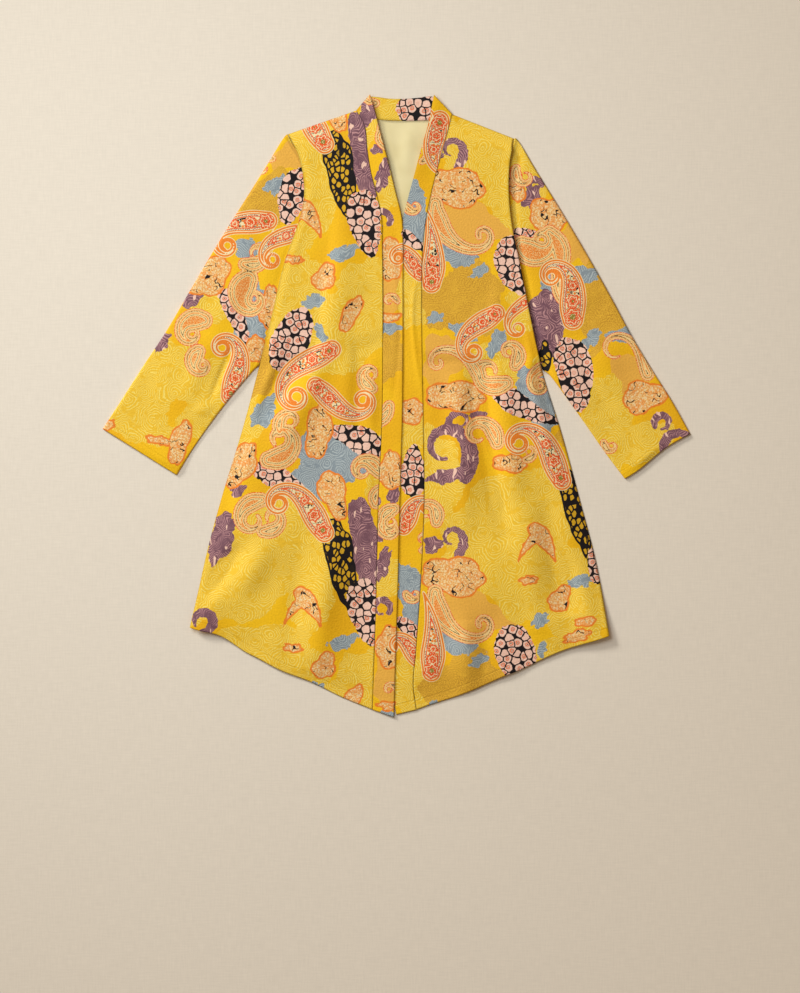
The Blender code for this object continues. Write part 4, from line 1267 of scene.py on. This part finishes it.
@dataclass(frozen=True)
class ClothSizes:
    """Sizes that all the pieces share, in metres."""

    cad_wall: float = 1.2 * MM
    cad_band_wall: float = 1.6 * MM
    wall: float = 0.7 * MM
    band_wall: float = 1.1 * MM
    seam_gap: float = 0.3 * MM
    front_crown: float = 4.8 * MM
    fold_depth: float = 1.55
    seam_lift: float = 1.1 * MM
    neck_lift: float = 2.3 * MM
    hem_lift: float = 0.4 * MM
    armhole_lift: float = 3.3 * MM
    lapped_lift: float = 0.3 * MM
    open_lapel_lift: float = 6.0 * MM
    side_roll: float = 34 * MM
    armhole_roll: float = 16 * MM
    seam_roll: float = 70 * MM
    hem_roll: float = 60 * MM
    shoulder_roll: float = 45 * MM
    lapel_start: float = 0.84
    lapel_open: float = 0.94
    back_inset: float = 1.5 * MM
    back_hem_dip: float = 60 * MM
    back_hem_power: float = 1.6
    drop_start: float = 18 * MM
    drop_end: float = 52 * MM
    hem_depth: float = 14 * MM
    turned_up: float = 0.3 * MM
    turn_width: float = 2.5 * MM
    edge_drop: float = 0.25 * MM
    edge_round: float = 1.2 * MM
    edge_wrap: float = 3 * MM

    @property
    def back_to_front(self) -> float:
        """Height of the fronts' lower face over the plane."""
        return self.cad_wall + self.seam_gap

    @property
    def thinner(self) -> float:
        """How much thinner the cloth is than its solid's wall."""
        return self.cad_wall - self.wall

    def turned_hem(self, from_hem: Array) -> Array:
        """Return the height that the turned-up cloth adds beside a hem."""
        return self.turned_up * (1 - ramp(from_hem - self.hem_depth, self.turn_width))

    def rounded_edge(self, from_edge: Array) -> Array:
        """Return how far a band's face drops beside its edge."""
        return self.edge_drop * np.exp(-from_edge / self.edge_round)


SIZES = ClothSizes()


@dataclass
class BodyHalf:
    """One half of the body: its edges, shared by the front, the band and the sleeve.

    The hem's waves are in mm, spaced evenly from the side to the band, and a wave below zero
    rises.
    """

    ARMHOLE_STEPS = 2000

    sections: Sequence[BodySection]
    hem_waves: tuple[float, ...]

    def _run(self, edge: str) -> Array:
        """Return the points of one named edge, in metres."""
        return np.array([[getattr(s, edge + "_x"), getattr(s, edge + "_y")] for s in self.sections]) * MM

    def _knots(self) -> Array:
        """Return the knots that all the edges share."""
        return shared_knots(self._run("side"), self._run("seam"))

    def edge(self, name: str, rows: int) -> Array:
        """Sample one edge from hem to shoulder."""
        return smooth_run(self._run(name), self._knots(), rows)

    @property
    def underarm(self) -> float:
        """Share of the length at which the armhole starts."""
        knots = self._knots()
        return knots[[s.level for s in self.sections].index("underarm")] / knots[-1]

    def armhole(self, count: int) -> Array:
        """Return the armhole from shoulder tip to underarm."""
        fine = self.edge("side", self.ARMHOLE_STEPS)
        arm = fine[int(round(self.underarm * (len(fine) - 1))):][::-1]
        picks = np.linspace(0, len(arm) - 1, count).round().astype(int)
        return arm[picks]

    def hem(self, start: Array, end: Array, count: int) -> Array:
        """Return the waved hem between two corners."""
        line = straight(start, end, count)
        v = np.linspace(0, 1, count)
        for place, wave in enumerate(self.hem_waves):
            within = np.clip(v * len(self.hem_waves) - place, 0, 1)
            line[:, 1] -= wave * MM * np.sin(math.pi * within) ** 2
        return line


RIGHT_BODY = BodyHalf(RIGHT_SECTIONS, (-8.5, 3.3, 2.0))
LEFT_BODY = BodyHalf(LEFT_SECTIONS, (-5.0, 3.5))


def back_hem(count: int) -> Array:
    """Return the back panel's hem from the right corner to the left one."""
    right = np.array(RIGHT_SECTIONS[0][1:3]) * MM + [SIZES.back_inset, 0]
    left = np.array(LEFT_SECTIONS[0][1:3]) * MM - [SIZES.back_inset, 0]
    line = straight(right, left, count)
    v = np.linspace(0, 1, count)
    line[:, 1] -= SIZES.back_hem_dip * (4 * v * (1 - v)) ** SIZES.back_hem_power
    return line


def support(plan: Array) -> Array:
    """Height of what the fronts lie on: the back panel, then the plane past its hem."""
    hem = back_hem(60)
    past_hem = np.interp(plan[..., 0], hem[:, 0], hem[:, 1]) - plan[..., 1]
    fall = ramp(past_hem - SIZES.drop_start, SIZES.drop_end - SIZES.drop_start)
    return SIZES.back_to_front * (1 - fall)


def corner_lift(plan: Array) -> Array:
    """Height by which the hem's corners and points stand off the floor, in both layers."""
    total = np.zeros(plan.shape[:-1])
    for x, y, reach, height in HEM_LIFTS:
        away = np.linalg.norm(plan - np.array([x, y]) * MM, axis=-1)
        total += height * MM * np.exp(-((away / (reach * MM)) ** 2))
    return total


@dataclass
class ClothPiece:
    """What all pieces of cloth share: a shell from two faces, its print and its declarations."""

    name: str
    node: str
    slot: str
    face: bpy.types.Material
    reverse: bpy.types.Material
    repeat: PrintRepeat

    def shell(self, upper: Array, lower: Array, cloth: Array, facts: dict[str, Array], printed_up: bool,
              around: bool = False) -> bpy.types.Object:
        """Join two grids of points into one closed shell.

        Args:
            upper: The outer or upper face, rows by columns by three.
            lower: The inner or lower face, of the same shape.
            cloth: Places on the cloth in metres, rows by columns by two.
            facts: Further values for each point, by attribute name.
            printed_up: True where the upper face carries the print.
            around: True where the columns close into a ring.

        Returns:
            The new object, in the scene.
        """
        rows, columns = upper.shape[:2]
        index = np.arange(rows * columns).reshape(rows, columns)
        if around:
            index = np.concatenate([index, index[:, :1]], axis=1)
        a, b = index[:-1, :-1].ravel(), index[:-1, 1:].ravel()
        c, d = index[1:, 1:].ravel(), index[1:, :-1].ravel()
        top = np.stack([a, b, c, d], axis=1)
        offset = rows * columns
        under = top[:, ::-1] + offset
        rims = []
        edges = [index[0][::-1], index[-1]]
        if not around:
            edges += [index[:, 0], index[::-1, -1]]
        for edge in edges:
            rims.append(np.stack([edge[:-1], edge[1:], edge[1:] + offset, edge[:-1] + offset], axis=1))
        faces = np.concatenate([top, under] + rims)
        points = np.concatenate([upper.reshape(-1, 3), lower.reshape(-1, 3)])
        mesh = bpy.data.meshes.new(self.name)
        mesh.from_pydata(points.tolist(), [], faces.tolist())
        mesh.materials.append(self.face)
        mesh.materials.append(self.reverse)
        slots = np.zeros(len(faces), dtype=np.int32)
        plain = slice(len(top), 2 * len(top)) if printed_up else slice(0, len(top))
        slots[plain] = 1
        mesh.polygons.foreach_set("material_index", slots)
        mesh.shade_smooth()
        self._store(mesh, cloth, facts)
        if self._inside_out(mesh):
            mesh.flip_normals()
        piece = bpy.data.objects.new(self.name, mesh)
        bpy.context.scene.collection.objects.link(piece)
        return piece

    def _store(self, mesh: bpy.types.Mesh, cloth: Array, facts: dict[str, Array]) -> None:
        """Keep the cloth places, the print and the other facts on both faces."""
        flat = cloth.reshape(-1, 2)
        vector = mesh.attributes.new("cloth", "FLOAT_VECTOR", "POINT")
        deep = np.concatenate([flat, np.zeros((len(flat), 1))], axis=1)
        vector.data.foreach_set("vector", np.concatenate([deep, deep]).ravel().astype(np.float32))
        values = {**self.repeat.sample(flat), **{key: fact.ravel() for key, fact in facts.items()}}
        for key, value in values.items():
            attribute = mesh.attributes.new(key, "FLOAT", "POINT")
            attribute.data.foreach_set("value", np.concatenate([value, value]).astype(np.float32))

    @staticmethod
    def _inside_out(mesh: bpy.types.Mesh) -> bool:
        """Tell whether a closed mesh has its faces pointing in."""
        mesh.calc_loop_triangles()
        corners = np.empty(len(mesh.vertices) * 3, dtype=np.float32)
        mesh.vertices.foreach_get("co", corners)
        corners = corners.reshape(-1, 3).astype(float)
        triangles = np.empty(len(mesh.loop_triangles) * 3, dtype=np.int32)
        mesh.loop_triangles.foreach_get("vertices", triangles)
        a, b, c = (corners[triangles.reshape(-1, 3)[:, k]] for k in range(3))
        return float(np.einsum("ij,ij->i", a, np.cross(b, c)).sum()) < 0

    def declare(self, piece: bpy.types.Object, flat: tuple[float, float], area: float,
                rests_on: Sequence[str]) -> bpy.types.Object:
        """Make the piece ride, replace its solid and state its cut."""
        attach(piece, "root")
        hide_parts(self.node)
        log.info("%s: %d faces, cut %.2f by %.2f m", self.name, len(piece.data.polygons), *flat)
        return piece


def spread(start: Array, end: Array) -> Array:
    """Return the distance in metres between two sets of points."""
    return np.linalg.norm(start - end, axis=-1)


def to_edges(plan: Array, first: float = 1.0, last: float = 1.0) -> Array:
    """Return how far in mm each point of a sheet is from the nearest of its four edges.

    Args:
        plan: The sheet's points, rows by columns by two.
        first: Factor on the distance to the first long edge. Below 1 the painted shade along it is broader.
        last: Factor on the distance to the second long edge.

    Returns:
        The distances, rows by columns, which set the painted shade along seams and edges.
    """
    sides = np.minimum(spread(plan, plan[:, :1]) * first, spread(plan, plan[:, -1:]) * last)
    ends = np.minimum(spread(plan, plan[:1]), spread(plan, plan[-1:]))
    return np.minimum(sides, ends) / MM


@dataclass
class BackPanel(ClothPiece):
    """The back, flat on the floor, with its pale reverse up."""

    rows: int = 190
    columns: int = 120
    cut: tuple[float, float] = (0.69, 0.91)
    cut_area: float = 0.43
    armhole_tuck: float = 5.1 * MM
    neck_rise: float = 3 * MM
    edge_fade: float = 50 * MM
    neck_fade: float = 30 * MM
    print_shift: tuple[float, float] = (0.13, 0.21)

    def build(self) -> bpy.types.Object:
        """Make the back."""
        right = RIGHT_BODY.edge("side", self.rows)
        left = LEFT_BODY.edge("side", self.rows)
        u = np.linspace(0, 1, self.rows)
        for side, half, inwards in ((right, RIGHT_BODY, 1), (left, LEFT_BODY, -1)):
            tuck = self.armhole_tuck * ramp(u - half.underarm + 0.03, 0.05)
            side[:, 0] += inwards * (SIZES.back_inset + tuck)
        neckline = np.array([row[:2] for row in BACK_NECK]) * MM + [0, self.neck_rise]
        corners = np.concatenate([[right[-1]], neckline, [left[-1]]])
        corners[[0, -1], 1] -= SIZES.back_inset
        right[-1], left[-1] = corners[0], corners[-1]
        across = shared_knots(corners)
        wanted = np.linspace(0, across[-1], self.columns)
        top = np.stack([np.interp(wanted, across, corners[:, k]) for k in (0, 1)], axis=1)
        plan = four_edged(right, left, back_hem(self.columns), top)
        inside = ramp(spread(plan, plan[-1:]), self.neck_fade)
        for border in (plan[:, :1], plan[:, -1:], plan[:1]):
            inside = inside * ramp(spread(plan, border), self.edge_fade)
        swell = BACK_SWELL.height + BACK_SWELL.relief(plan, seed=11)
        rise = inside * swell + relief_of(NECK_FOLDS, plan)
        lifted = corner_lift(plan)
        upper = np.dstack([plan, SIZES.wall + np.maximum(rise, 0) + lifted])
        lower = np.dstack([plan, lifted])
        mirrored = plan * [-1, 1] + self.print_shift
        stitch = (spread(plan, plan[:1]) - SIZES.hem_depth) / MM
        facts = {"stitch": stitch, "run": plan[..., 0] / MM, "edge": to_edges(plan)}
        piece = self.shell(upper, lower, mirrored, facts, printed_up=False)
        return self.declare(piece, self.cut, self.cut_area, ())


@dataclass
class FrontPanel(ClothPiece):
    """One front, from its side seam and armhole to the band seam.

    The armhole's start and fade are shares of the front's length, and the neck's share is of
    its width.
    """

    half: BodyHalf
    shift: tuple[float, float]
    seed: int
    cut: tuple[float, float] = (0.31, 0.95)
    cut_area: float = 0.196
    rows: int = 400
    columns: int = 122
    armhole_lift: float = SIZES.armhole_lift
    armhole_start: float = 0.012
    armhole_fade: float = 0.035
    neck_share: float = 0.3
    # Factors on the distances to the side and the band seam; below 1 the painted shade along them is broader
    painted_shade_side_factor: float = 0.6
    painted_shade_seam_factor: float = 1.9

    def build(self) -> bpy.types.Object:
        """Make the front."""
        side = self.half.edge("side", self.rows)
        outward = math.copysign(SIZES.seam_gap, side[0, 0])
        seam = self.half.edge("seam", self.rows) + [outward, 0]
        hem = self.half.hem(side[0], seam[0], self.columns)
        plan = four_edged(side, seam, hem, straight(side[-1], seam[-1], self.columns))
        upper_z = self._height(plan) + SIZES.cad_wall
        upper = np.dstack([plan, upper_z])
        lower = np.dstack([plan, upper_z - SIZES.wall])
        facts = {"stitch": (spread(plan, plan[:1]) - SIZES.hem_depth) / MM, "run": plan[..., 0] / MM}
        facts["edge"] = to_edges(plan, first=self.painted_shade_side_factor, last=self.painted_shade_seam_factor)
        piece = self.shell(upper, lower, plan + self.shift, facts, printed_up=True)
        return self.declare(piece, self.cut, self.cut_area, ("back_panel",))

    def _height(self, plan: Array) -> Array:
        """Return the height of the lower face of the solid, with the finer folds added."""
        s = SIZES
        u = np.linspace(0, 1, self.rows)[:, None]
        from_side, from_seam = spread(plan, plan[:, :1]), spread(plan, plan[:, -1:])
        from_hem, from_shoulder = spread(plan, plan[:1]), spread(plan, plan[-1:])
        at_seam = seam_lift(self.rows)[:, None]
        crown = at_seam + (s.front_crown - at_seam) * ramp(from_seam, s.seam_roll)
        crown = s.hem_lift + (crown - s.hem_lift) * ramp(from_hem, s.hem_roll)
        from_neck = np.linspace(1, 0, self.columns)[None]
        at_shoulder = at_seam * ramp(self.neck_share - from_neck, self.neck_share)
        crown = at_shoulder + (crown - at_shoulder) * ramp(from_shoulder, s.shoulder_roll)
        folds = relief_of(FRONT_FOLDS, plan) * s.fold_depth
        crown = crown + folds + self._creases(plan, from_hem, from_seam, from_side)
        from_underarm = u - self.half.underarm + self.armhole_start
        on_armhole = ramp(from_underarm, self.armhole_fade) * ramp(1 - u, self.armhole_fade)
        at_side = self.armhole_lift * on_armhole
        roll = s.side_roll + (s.armhole_roll - s.side_roll) * on_armhole
        held = ramp(from_side, roll)
        rise = at_side + (held_over(crown, at_side * 0.9) - at_side) * held
        height = support(plan) + np.maximum(rise, 0) + 0.1 * MM * held
        wrap = (1 - on_armhole) * (1 - ramp(from_side, s.edge_wrap))
        wrap = np.maximum(wrap, 1 - ramp(from_shoulder, s.edge_wrap))
        return height + (0.2 * MM - s.thinner - height) * wrap + corner_lift(plan)

    def _creases(self, plan: Array, from_hem: Array, from_seam: Array, from_side: Array) -> Array:
        """Return the small unevenness of laid cloth, stronger beside its seams."""
        inner = ramp(from_side, 0.03) * ramp(from_seam, 0.02) * ramp(from_hem, 0.02)
        soft = sum(swell.relief(plan, self.seed + place) for place, swell in enumerate(FRONT_SWELLS))
        x, y = plan[..., 0], plan[..., 1]
        puckers = BAND_SEAM_PUCKER.relief(y, from_seam, self.seed + 2)
        puckers = puckers + SIDE_SEAM_PUCKER.relief(y, from_side, self.seed + 3)
        puckers = puckers + HEM_PUCKER.relief(x, from_hem, self.seed + 4)
        return soft * inner + puckers + SIZES.turned_hem(from_hem)


def seam_lift(rows: int) -> Array:
    """Height of the band seam over its support, higher where the band turns over the neck."""
    u = np.linspace(0, 1, rows)
    s = SIZES
    return s.seam_lift + (s.neck_lift - s.seam_lift) * ramp(u - s.lapel_start, s.lapel_open - s.lapel_start)


@dataclass
class FrontBand(ClothPiece):
    """One front band, from its seam to its free edge."""

    half: BodyHalf
    shift: tuple[float, float]
    seed: int
    lapping: bool = False
    cut_width: float = 0.037
    cut_length: float = 1.03
    filled: float = 0.93
    # Factor on the distance to the band seam; below 1 the painted shade along it is broader
    painted_shade_seam_factor: float = 1.0
    hem_depth: float = 16 * MM
    loose_wave: float = 160 * MM
    loose_reach: float = 20 * MM
    loose_height: float = 0.35 * MM
    rows: int = 640
    columns: int = 24

    def build(self) -> bpy.types.Object:
        """Make the band."""
        s = SIZES
        seam, free = self.half.edge("seam", self.rows), self.half.edge("free", self.rows)
        hem = straight(seam[0], free[0], self.columns)
        plan = four_edged(seam, free, hem, straight(seam[-1], free[-1], self.columns))
        u = np.linspace(0, 1, self.rows)[:, None]
        v = np.linspace(0, 1, self.columns)[None]
        at_seam = seam_lift(self.rows)[:, None]
        resting = s.lapped_lift
        if self.lapping:
            resting = s.lapped_lift + s.cad_band_wall + 2 * s.seam_gap
        opened = ramp(u - s.lapel_start, s.lapel_open - s.lapel_start)
        at_free = resting + (s.open_lapel_lift - resting) * opened
        rise = at_seam + (at_free - at_seam) * ramp(v, 1)
        from_seam, from_free = spread(plan, plan[:, :1]), spread(plan, plan[:, -1:])
        run = plan[..., 1]
        pucker = BAND_PUCKER.relief(run, from_seam, self.seed)
        away = 1 - np.exp(-from_seam / self.loose_reach)
        loose = uneven_wave(run, self.loose_wave, self.seed + 1) * away * self.loose_height
        soft = BAND_SWELL.relief(plan, self.seed + 2) + relief_of(BAND_FOLDS, plan)
        soft = soft + pucker + np.maximum(loose, -0.1 * MM)
        edges = s.rounded_edge(from_free) + s.rounded_edge(from_seam)
        upper_z = support(plan) + rise + s.cad_band_wall + soft - edges
        upper = np.dstack([plan, upper_z])
        lower = np.dstack([plan, upper_z - s.band_wall])
        facts = {"stitch": (spread(plan, plan[:1]) - self.hem_depth) / MM, "run": plan[..., 0] / MM}
        facts["edge"] = to_edges(plan, first=self.painted_shade_seam_factor)
        piece = self.shell(upper, lower, plan + self.shift, facts, printed_up=True)
        area = self.filled * self.cut_width * self.cut_length
        return self.declare(piece, (self.cut_width, self.cut_length), area, ("back_panel",))


@dataclass
class NeckBand(ClothPiece):
    """The band of the back neck, lying with its inside up."""

    rows: int = 30
    columns: int = 110
    cut: tuple[float, float] = (0.15, 0.04)
    cut_area: float = 0.0045
    curl: float = 1.0 * MM
    stitch_inset: float = 1.6 * MM
    print_shift: tuple[float, float] = (0.200, 0.135)

    def build(self) -> bpy.types.Object:
        """Make the neck band."""
        table = np.array(BACK_NECK) * MM
        lower_edge, upper_edge = table[:, :2], table[:, 2:]
        knots = shared_knots(lower_edge, upper_edge)
        low = smooth_run(lower_edge, knots, self.columns)
        high = smooth_run(upper_edge, knots, self.columns)
        right_end = straight(low[0], high[0], self.rows)
        left_end = straight(low[-1], high[-1], self.rows)
        plan = four_edged(right_end, left_end, low, high)
        v = np.linspace(0, 1, self.columns)[None]
        up = np.linspace(0, 1, self.rows)[:, None]
        rise = self.curl * up * np.sin(math.pi * v) ** 2 + NECK_BAND_SWELL.relief(plan, seed=71)
        upper_z = SIZES.back_to_front + SIZES.cad_band_wall + rise
        upper_z = upper_z - SIZES.rounded_edge(spread(plan, plan[:1]))
        upper = np.dstack([plan, upper_z])
        lower = np.dstack([plan, upper_z - SIZES.band_wall])
        stitch = (spread(plan, plan[:1]) - self.stitch_inset) / MM
        facts = {"stitch": stitch, "run": plan[..., 0] / MM, "edge": to_edges(plan)}
        piece = self.shell(upper, lower, plan + self.print_shift, facts, printed_up=True)
        return self.declare(piece, self.cut, self.cut_area, ("back_panel",))


@dataclass
class Sleeve(ClothPiece):
    """One sleeve, a flattened tube whose head is tucked under the front's edge.

    The heights give how full it is, in mm, by share of the way from the cuff to the shoulder.
    """

    sections: Sequence[SleeveSection]
    half: BodyHalf
    origin: tuple[float, float]
    seed: int
    cut: tuple[float, float] = (0.37, 0.585)
    cut_area: float = 0.142
    head_dip: float = 0.6 * MM
    head_tuck: float = 4.5 * MM
    head_power: float = 2.5
    edge_crowding: float = 0.35
    squareness: float = 6.0
    crown_bulge: float = 4.5 * MM
    crown_place: float = 18 * MM
    cuff_wave: float = 0.0
    cuff_reach: float = 50 * MM
    # How far in from the head the painted shadow line of the front's edge runs
    painted_shade_line_inset: float = 3.9 * MM
    rows: int = 215
    columns: int = 66
    heights: Sequence[tuple[float, float]] = ((0.0, 4.0), (0.2, 4.6), (0.55, 5.8), (0.85, 5.0), (1.0, 4.2))

    def build(self) -> bpy.types.Object:
        """Make the sleeve."""
        table = np.array([row[1:] for row in self.sections]) * MM
        outer, inner = table[:, :2], table[:, 2:]
        knots = shared_knots(outer, inner)
        outer, inner = (smooth_run(edge, knots, self.rows) for edge in (outer, inner))
        even = np.linspace(0, 1, self.columns)
        crowded = 0.5 - 0.5 * np.cos(math.pi * even)
        v = self.edge_crowding * crowded + (1 - self.edge_crowding) * even
        u = np.linspace(0, 1, self.rows)
        head = self._head(v)
        chord = head[0] * (1 - v[:, None]) + head[-1] * v[:, None]
        width = spread(outer, inner)[:, None]
        full = (np.interp(u, *np.array(self.heights).T) * MM)[:, None]
        round_off = (1 - np.abs(2 * v - 1) ** self.squareness) ** (1 / self.squareness)
        skins = []
        for inset in (0.0, SIZES.wall):
            w = (0.5 + (v[None] - 0.5) * (1 - 2 * inset / width))[..., None]
            plan = outer[:, None] * (1 - w) + inner[:, None] * w
            ends = (head[0] - outer[-1]) * (1 - w) + (head[-1] - inner[-1]) * w
            plan = plan + u[:, None, None] ** self.head_power * (ends + (head - chord)[None])
            plan = plan + self._crown(outer, inner) * (1 - w) ** 2 + self._cuff_line(outer, w)
            thick = (full / 2 - inset) * round_off[None]
            relief = self._relief(plan, u, round_off)
            upper = np.dstack([plan, full / 2 + thick + relief])
            under = np.dstack([plan, full / 2 - thick])
            skins.append(np.concatenate([upper, under[:, -2:0:-1]], axis=1))
        cloth, facts = self._cloth(skins[0][:, : self.columns, :2], outer)
        piece = self.shell(skins[0], skins[1], cloth, facts, printed_up=True, around=True)
        return self.declare(piece, self.cut, self.cut_area, ())

    def _crown(self, outer: Array, inner: Array) -> Array:
        """Return how far the outer fold swells out below the shoulder, by rows."""
        from_head = spread(outer, outer[-1:])[:, None, None] / self.crown_place
        outward = ((outer - inner) / spread(outer, inner)[:, None])[:, None]
        return outward * self.crown_bulge * from_head * np.exp(1 - from_head)

    def _cuff_line(self, outer: Array, across: Array) -> Array:
        """Return the wave of the cuff's edge along the sleeve, fading up the arm."""
        along = (outer[-1] - outer[0]) / np.linalg.norm(outer[-1] - outer[0])
        fade = np.exp(-((spread(outer, outer[:1]) / self.cuff_reach) ** 2))[:, None, None]
        return along * self.cuff_wave * np.sin(2 * math.pi * across - 0.6) * fade

    def _head(self, v: Array) -> Array:
        """Return the sleeve's head, moved in under the front's edge."""
        fine = 400
        arm = self.half.armhole(fine)
        along = np.linspace(0, 1, fine)
        tuck = self.head_tuck * ramp(along - 0.05, 0.12) * ramp(0.95 - along, 0.12) - 0.6 * MM
        arm = arm + np.stack([math.copysign(1, -arm[0, 0]) * tuck, np.zeros(fine)], axis=1)
        return np.stack([np.interp(v, along, arm[:, k]) for k in (0, 1)], axis=1)

    def _relief(self, plan: Array, u: Array, round_off: Array) -> Array:
        """Return the upper layer's folds, creases and turned cuff."""
        from_cuff = spread(plan, plan[:1])
        soft = sum(swell.relief(plan, self.seed + place) for place, swell in enumerate(SLEEVE_SWELLS))
        folds = (relief_of(SLEEVE_FOLDS, plan) + soft) * ramp(1 - u, 0.2)[:, None]
        dip = self.head_dip * np.exp(-(((spread(plan, plan[-1:]) - 12 * MM) / (14 * MM)) ** 2))
        return (folds * ramp(from_cuff, 0.01) + SIZES.turned_hem(from_cuff) - dip) * round_off[None]

    def _cloth(self, plan: Array, outer: Array) -> tuple[Array, dict[str, Array]]:
        """Lay the print along the sleeve, on round its outer fold.

        Args:
            plan: The upper layer's points, rows by columns by two.
            outer: The outer fold's points, by rows.

        Returns:
            The cloth's places for both layers, and the stitch, run and edge values; edge places the painted
            shade beside the cuff and along the front's overlapping edge.
        """
        along = (outer[-1] - outer[0]) / np.linalg.norm(outer[-1] - outer[0])
        across = np.array([along[1], -along[0]])
        x, y = (plan - outer[0]) @ across, (plan - outer[0]) @ along
        fold = x[:, :1]
        x = np.concatenate([x, 2 * fold - x[:, -2:0:-1]], axis=1)
        y = np.concatenate([y, y[:, -2:0:-1]], axis=1)
        cuff = spread(plan, plan[:1])
        cuff = np.concatenate([cuff, cuff[:, -2:0:-1]], axis=1)
        cloth = np.stack([x + self.origin[0], y + self.origin[1]], axis=-1)
        # Painted shadow: a dark line on the sleeve where the front's edge lies over it
        head = np.abs(spread(plan, plan[-1:]) - self.painted_shade_line_inset) * 0.6
        head = np.concatenate([head, head[:, -2:0:-1]], axis=1)
        edge = np.minimum(cuff, head) / MM
        return cloth, {"stitch": (cuff - SIZES.hem_depth) / MM, "run": x / MM, "edge": edge}


@dataclass
class Studio:
    """The floor, the lights and the camera, straight above as in the photograph."""

    focus: tuple[float, float] = (6.1 * MM, -149.3 * MM)
    view_height: float = 1.638
    lens: float = 85.0
    sensor: float = 36.0
    target: tuple[float, float, float] = (0.05, -0.15, 0.0)
    key_place: tuple[float, float, float] = (-3.40, 2.99, 2.08)
    key_colour: tuple[float, float, float] = (0.975, 0.995, 0.955)
    key_strength: float = 2.31
    key_spread: float = 14.0
    wash_place: tuple[float, float, float] = (-0.80, 0.60, 1.80)
    wash_colour: tuple[float, float, float] = (0.82, 0.93, 1.0)
    wash_size: float = 1.2
    wash_power: float = 25.7
    sky_colour: tuple[float, float, float, float] = (1.0, 0.79, 0.585, 1.0)
    sky_strength: float = 0.286
    floor_size: float = 60.0
    floor_drop: float = 0.3 * MM

    def build(self) -> None:
        """Make all of it."""
        self._floor()
        self._lights()
        self._camera()
        bpy.context.scene.view_settings.view_transform = "Standard"

    def _floor(self) -> None:
        """Make a wide pale floor, just under the cloth."""
        bpy.ops.mesh.primitive_plane_add(size=self.floor_size, location=(0, 0, -self.floor_drop))
        floor = bpy.context.object
        floor.name = "floor"
        floor.data.materials.append(FloorFinish().build())

    def _lights(self) -> None:
        """Make a soft key from the upper left, a wash over the blouse and an even sky."""
        key = bpy.data.lights.new("key", "SUN")
        key.energy = self.key_strength
        key.angle = math.radians(self.key_spread)
        key.color = self.key_colour
        self._aim(key, self.key_place)
        wash = bpy.data.lights.new("wash", "AREA")
        wash.shape = "DISK"
        wash.size = self.wash_size
        wash.energy = self.wash_power
        wash.color = self.wash_colour
        self._aim(wash, self.wash_place)
        world = bpy.data.worlds.new("soft_sky")
        world.use_nodes = True
        backdrop = world.node_tree.nodes["Background"]
        backdrop.inputs["Color"].default_value = self.sky_colour
        backdrop.inputs["Strength"].default_value = self.sky_strength
        bpy.context.scene.world = world

    def _aim(self, data: bpy.types.Light, place: tuple[float, float, float]) -> None:
        """Put a light in its place, pointed at the blouse."""
        light = bpy.data.objects.new(data.name, data)
        light.location = place
        towards = Vector(self.target) - light.location
        light.rotation_euler = towards.to_track_quat("-Z", "Y").to_euler()
        bpy.context.scene.collection.objects.link(light)

    def _camera(self) -> None:
        """Look straight down, with the photograph's height fitted to the sensor."""
        data = bpy.data.cameras.new("camera")
        data.lens = self.lens
        data.sensor_width = self.sensor
        camera = bpy.data.objects.new("camera", data)
        camera.location = (*self.focus, self.view_height * self.lens / self.sensor)
        bpy.context.scene.collection.objects.link(camera)
        bpy.context.scene.camera = camera


def main() -> None:
    """Build the blouse piece by piece, then the studio."""
    logging.basicConfig(level=logging.INFO)
    face = PrintedCloth().build()
    reverse = PlainReverse().build()
    repeat = PrintRepeat(REPEAT_MOTIFS)
    small_repeat = PrintRepeat(SMALL_PIECE_MOTIFS)
    body = ("printed_cloth", face, reverse, repeat)
    sleeve = ("printed_cloth", face, reverse, small_repeat)
    band = ("band_cloth", face, face, small_repeat)
    BackPanel("back_cloth", "back_panel", "back_cloth", face, reverse, repeat).build()
    FrontPanel("front_right_cloth", "front_right", *body, half=RIGHT_BODY, shift=(0.340, 0.513),
               seed=1).build()
    FrontPanel("front_left_cloth", "front_left", *body, half=LEFT_BODY, shift=(0.290, 0.513), seed=6,
               armhole_lift=7.0 * MM, painted_shade_seam_factor=1.0).build()
    Sleeve("sleeve_right_cloth", "sleeve_right", *sleeve, sections=RIGHT_SLEEVE_SECTIONS, half=RIGHT_BODY,
           seed=51, origin=(0.160, 0.030)).build()
    Sleeve("sleeve_left_cloth", "sleeve_left", *sleeve, sections=LEFT_SLEEVE_SECTIONS, half=LEFT_BODY,
           seed=57, origin=(0.600, 0.030), head_dip=3.0 * MM, cut_area=0.133, crown_bulge=8.0 * MM,
           cuff_wave=2.4 * MM).build()
    NeckBand("neck_band_cloth", "neck_band", *band).build()
    FrontBand("band_left_cloth", "band_left", *band, half=LEFT_BODY, cut_width=0.042, shift=(0.388, 0.0),
              seed=31).build()
    FrontBand("band_right_cloth", "band_right", *band, half=RIGHT_BODY, lapping=True, shift=(0.378, 0.0),
              seed=37, painted_shade_seam_factor=1.9).build()
    Studio().build()


if __name__ == "__main__":
    main()
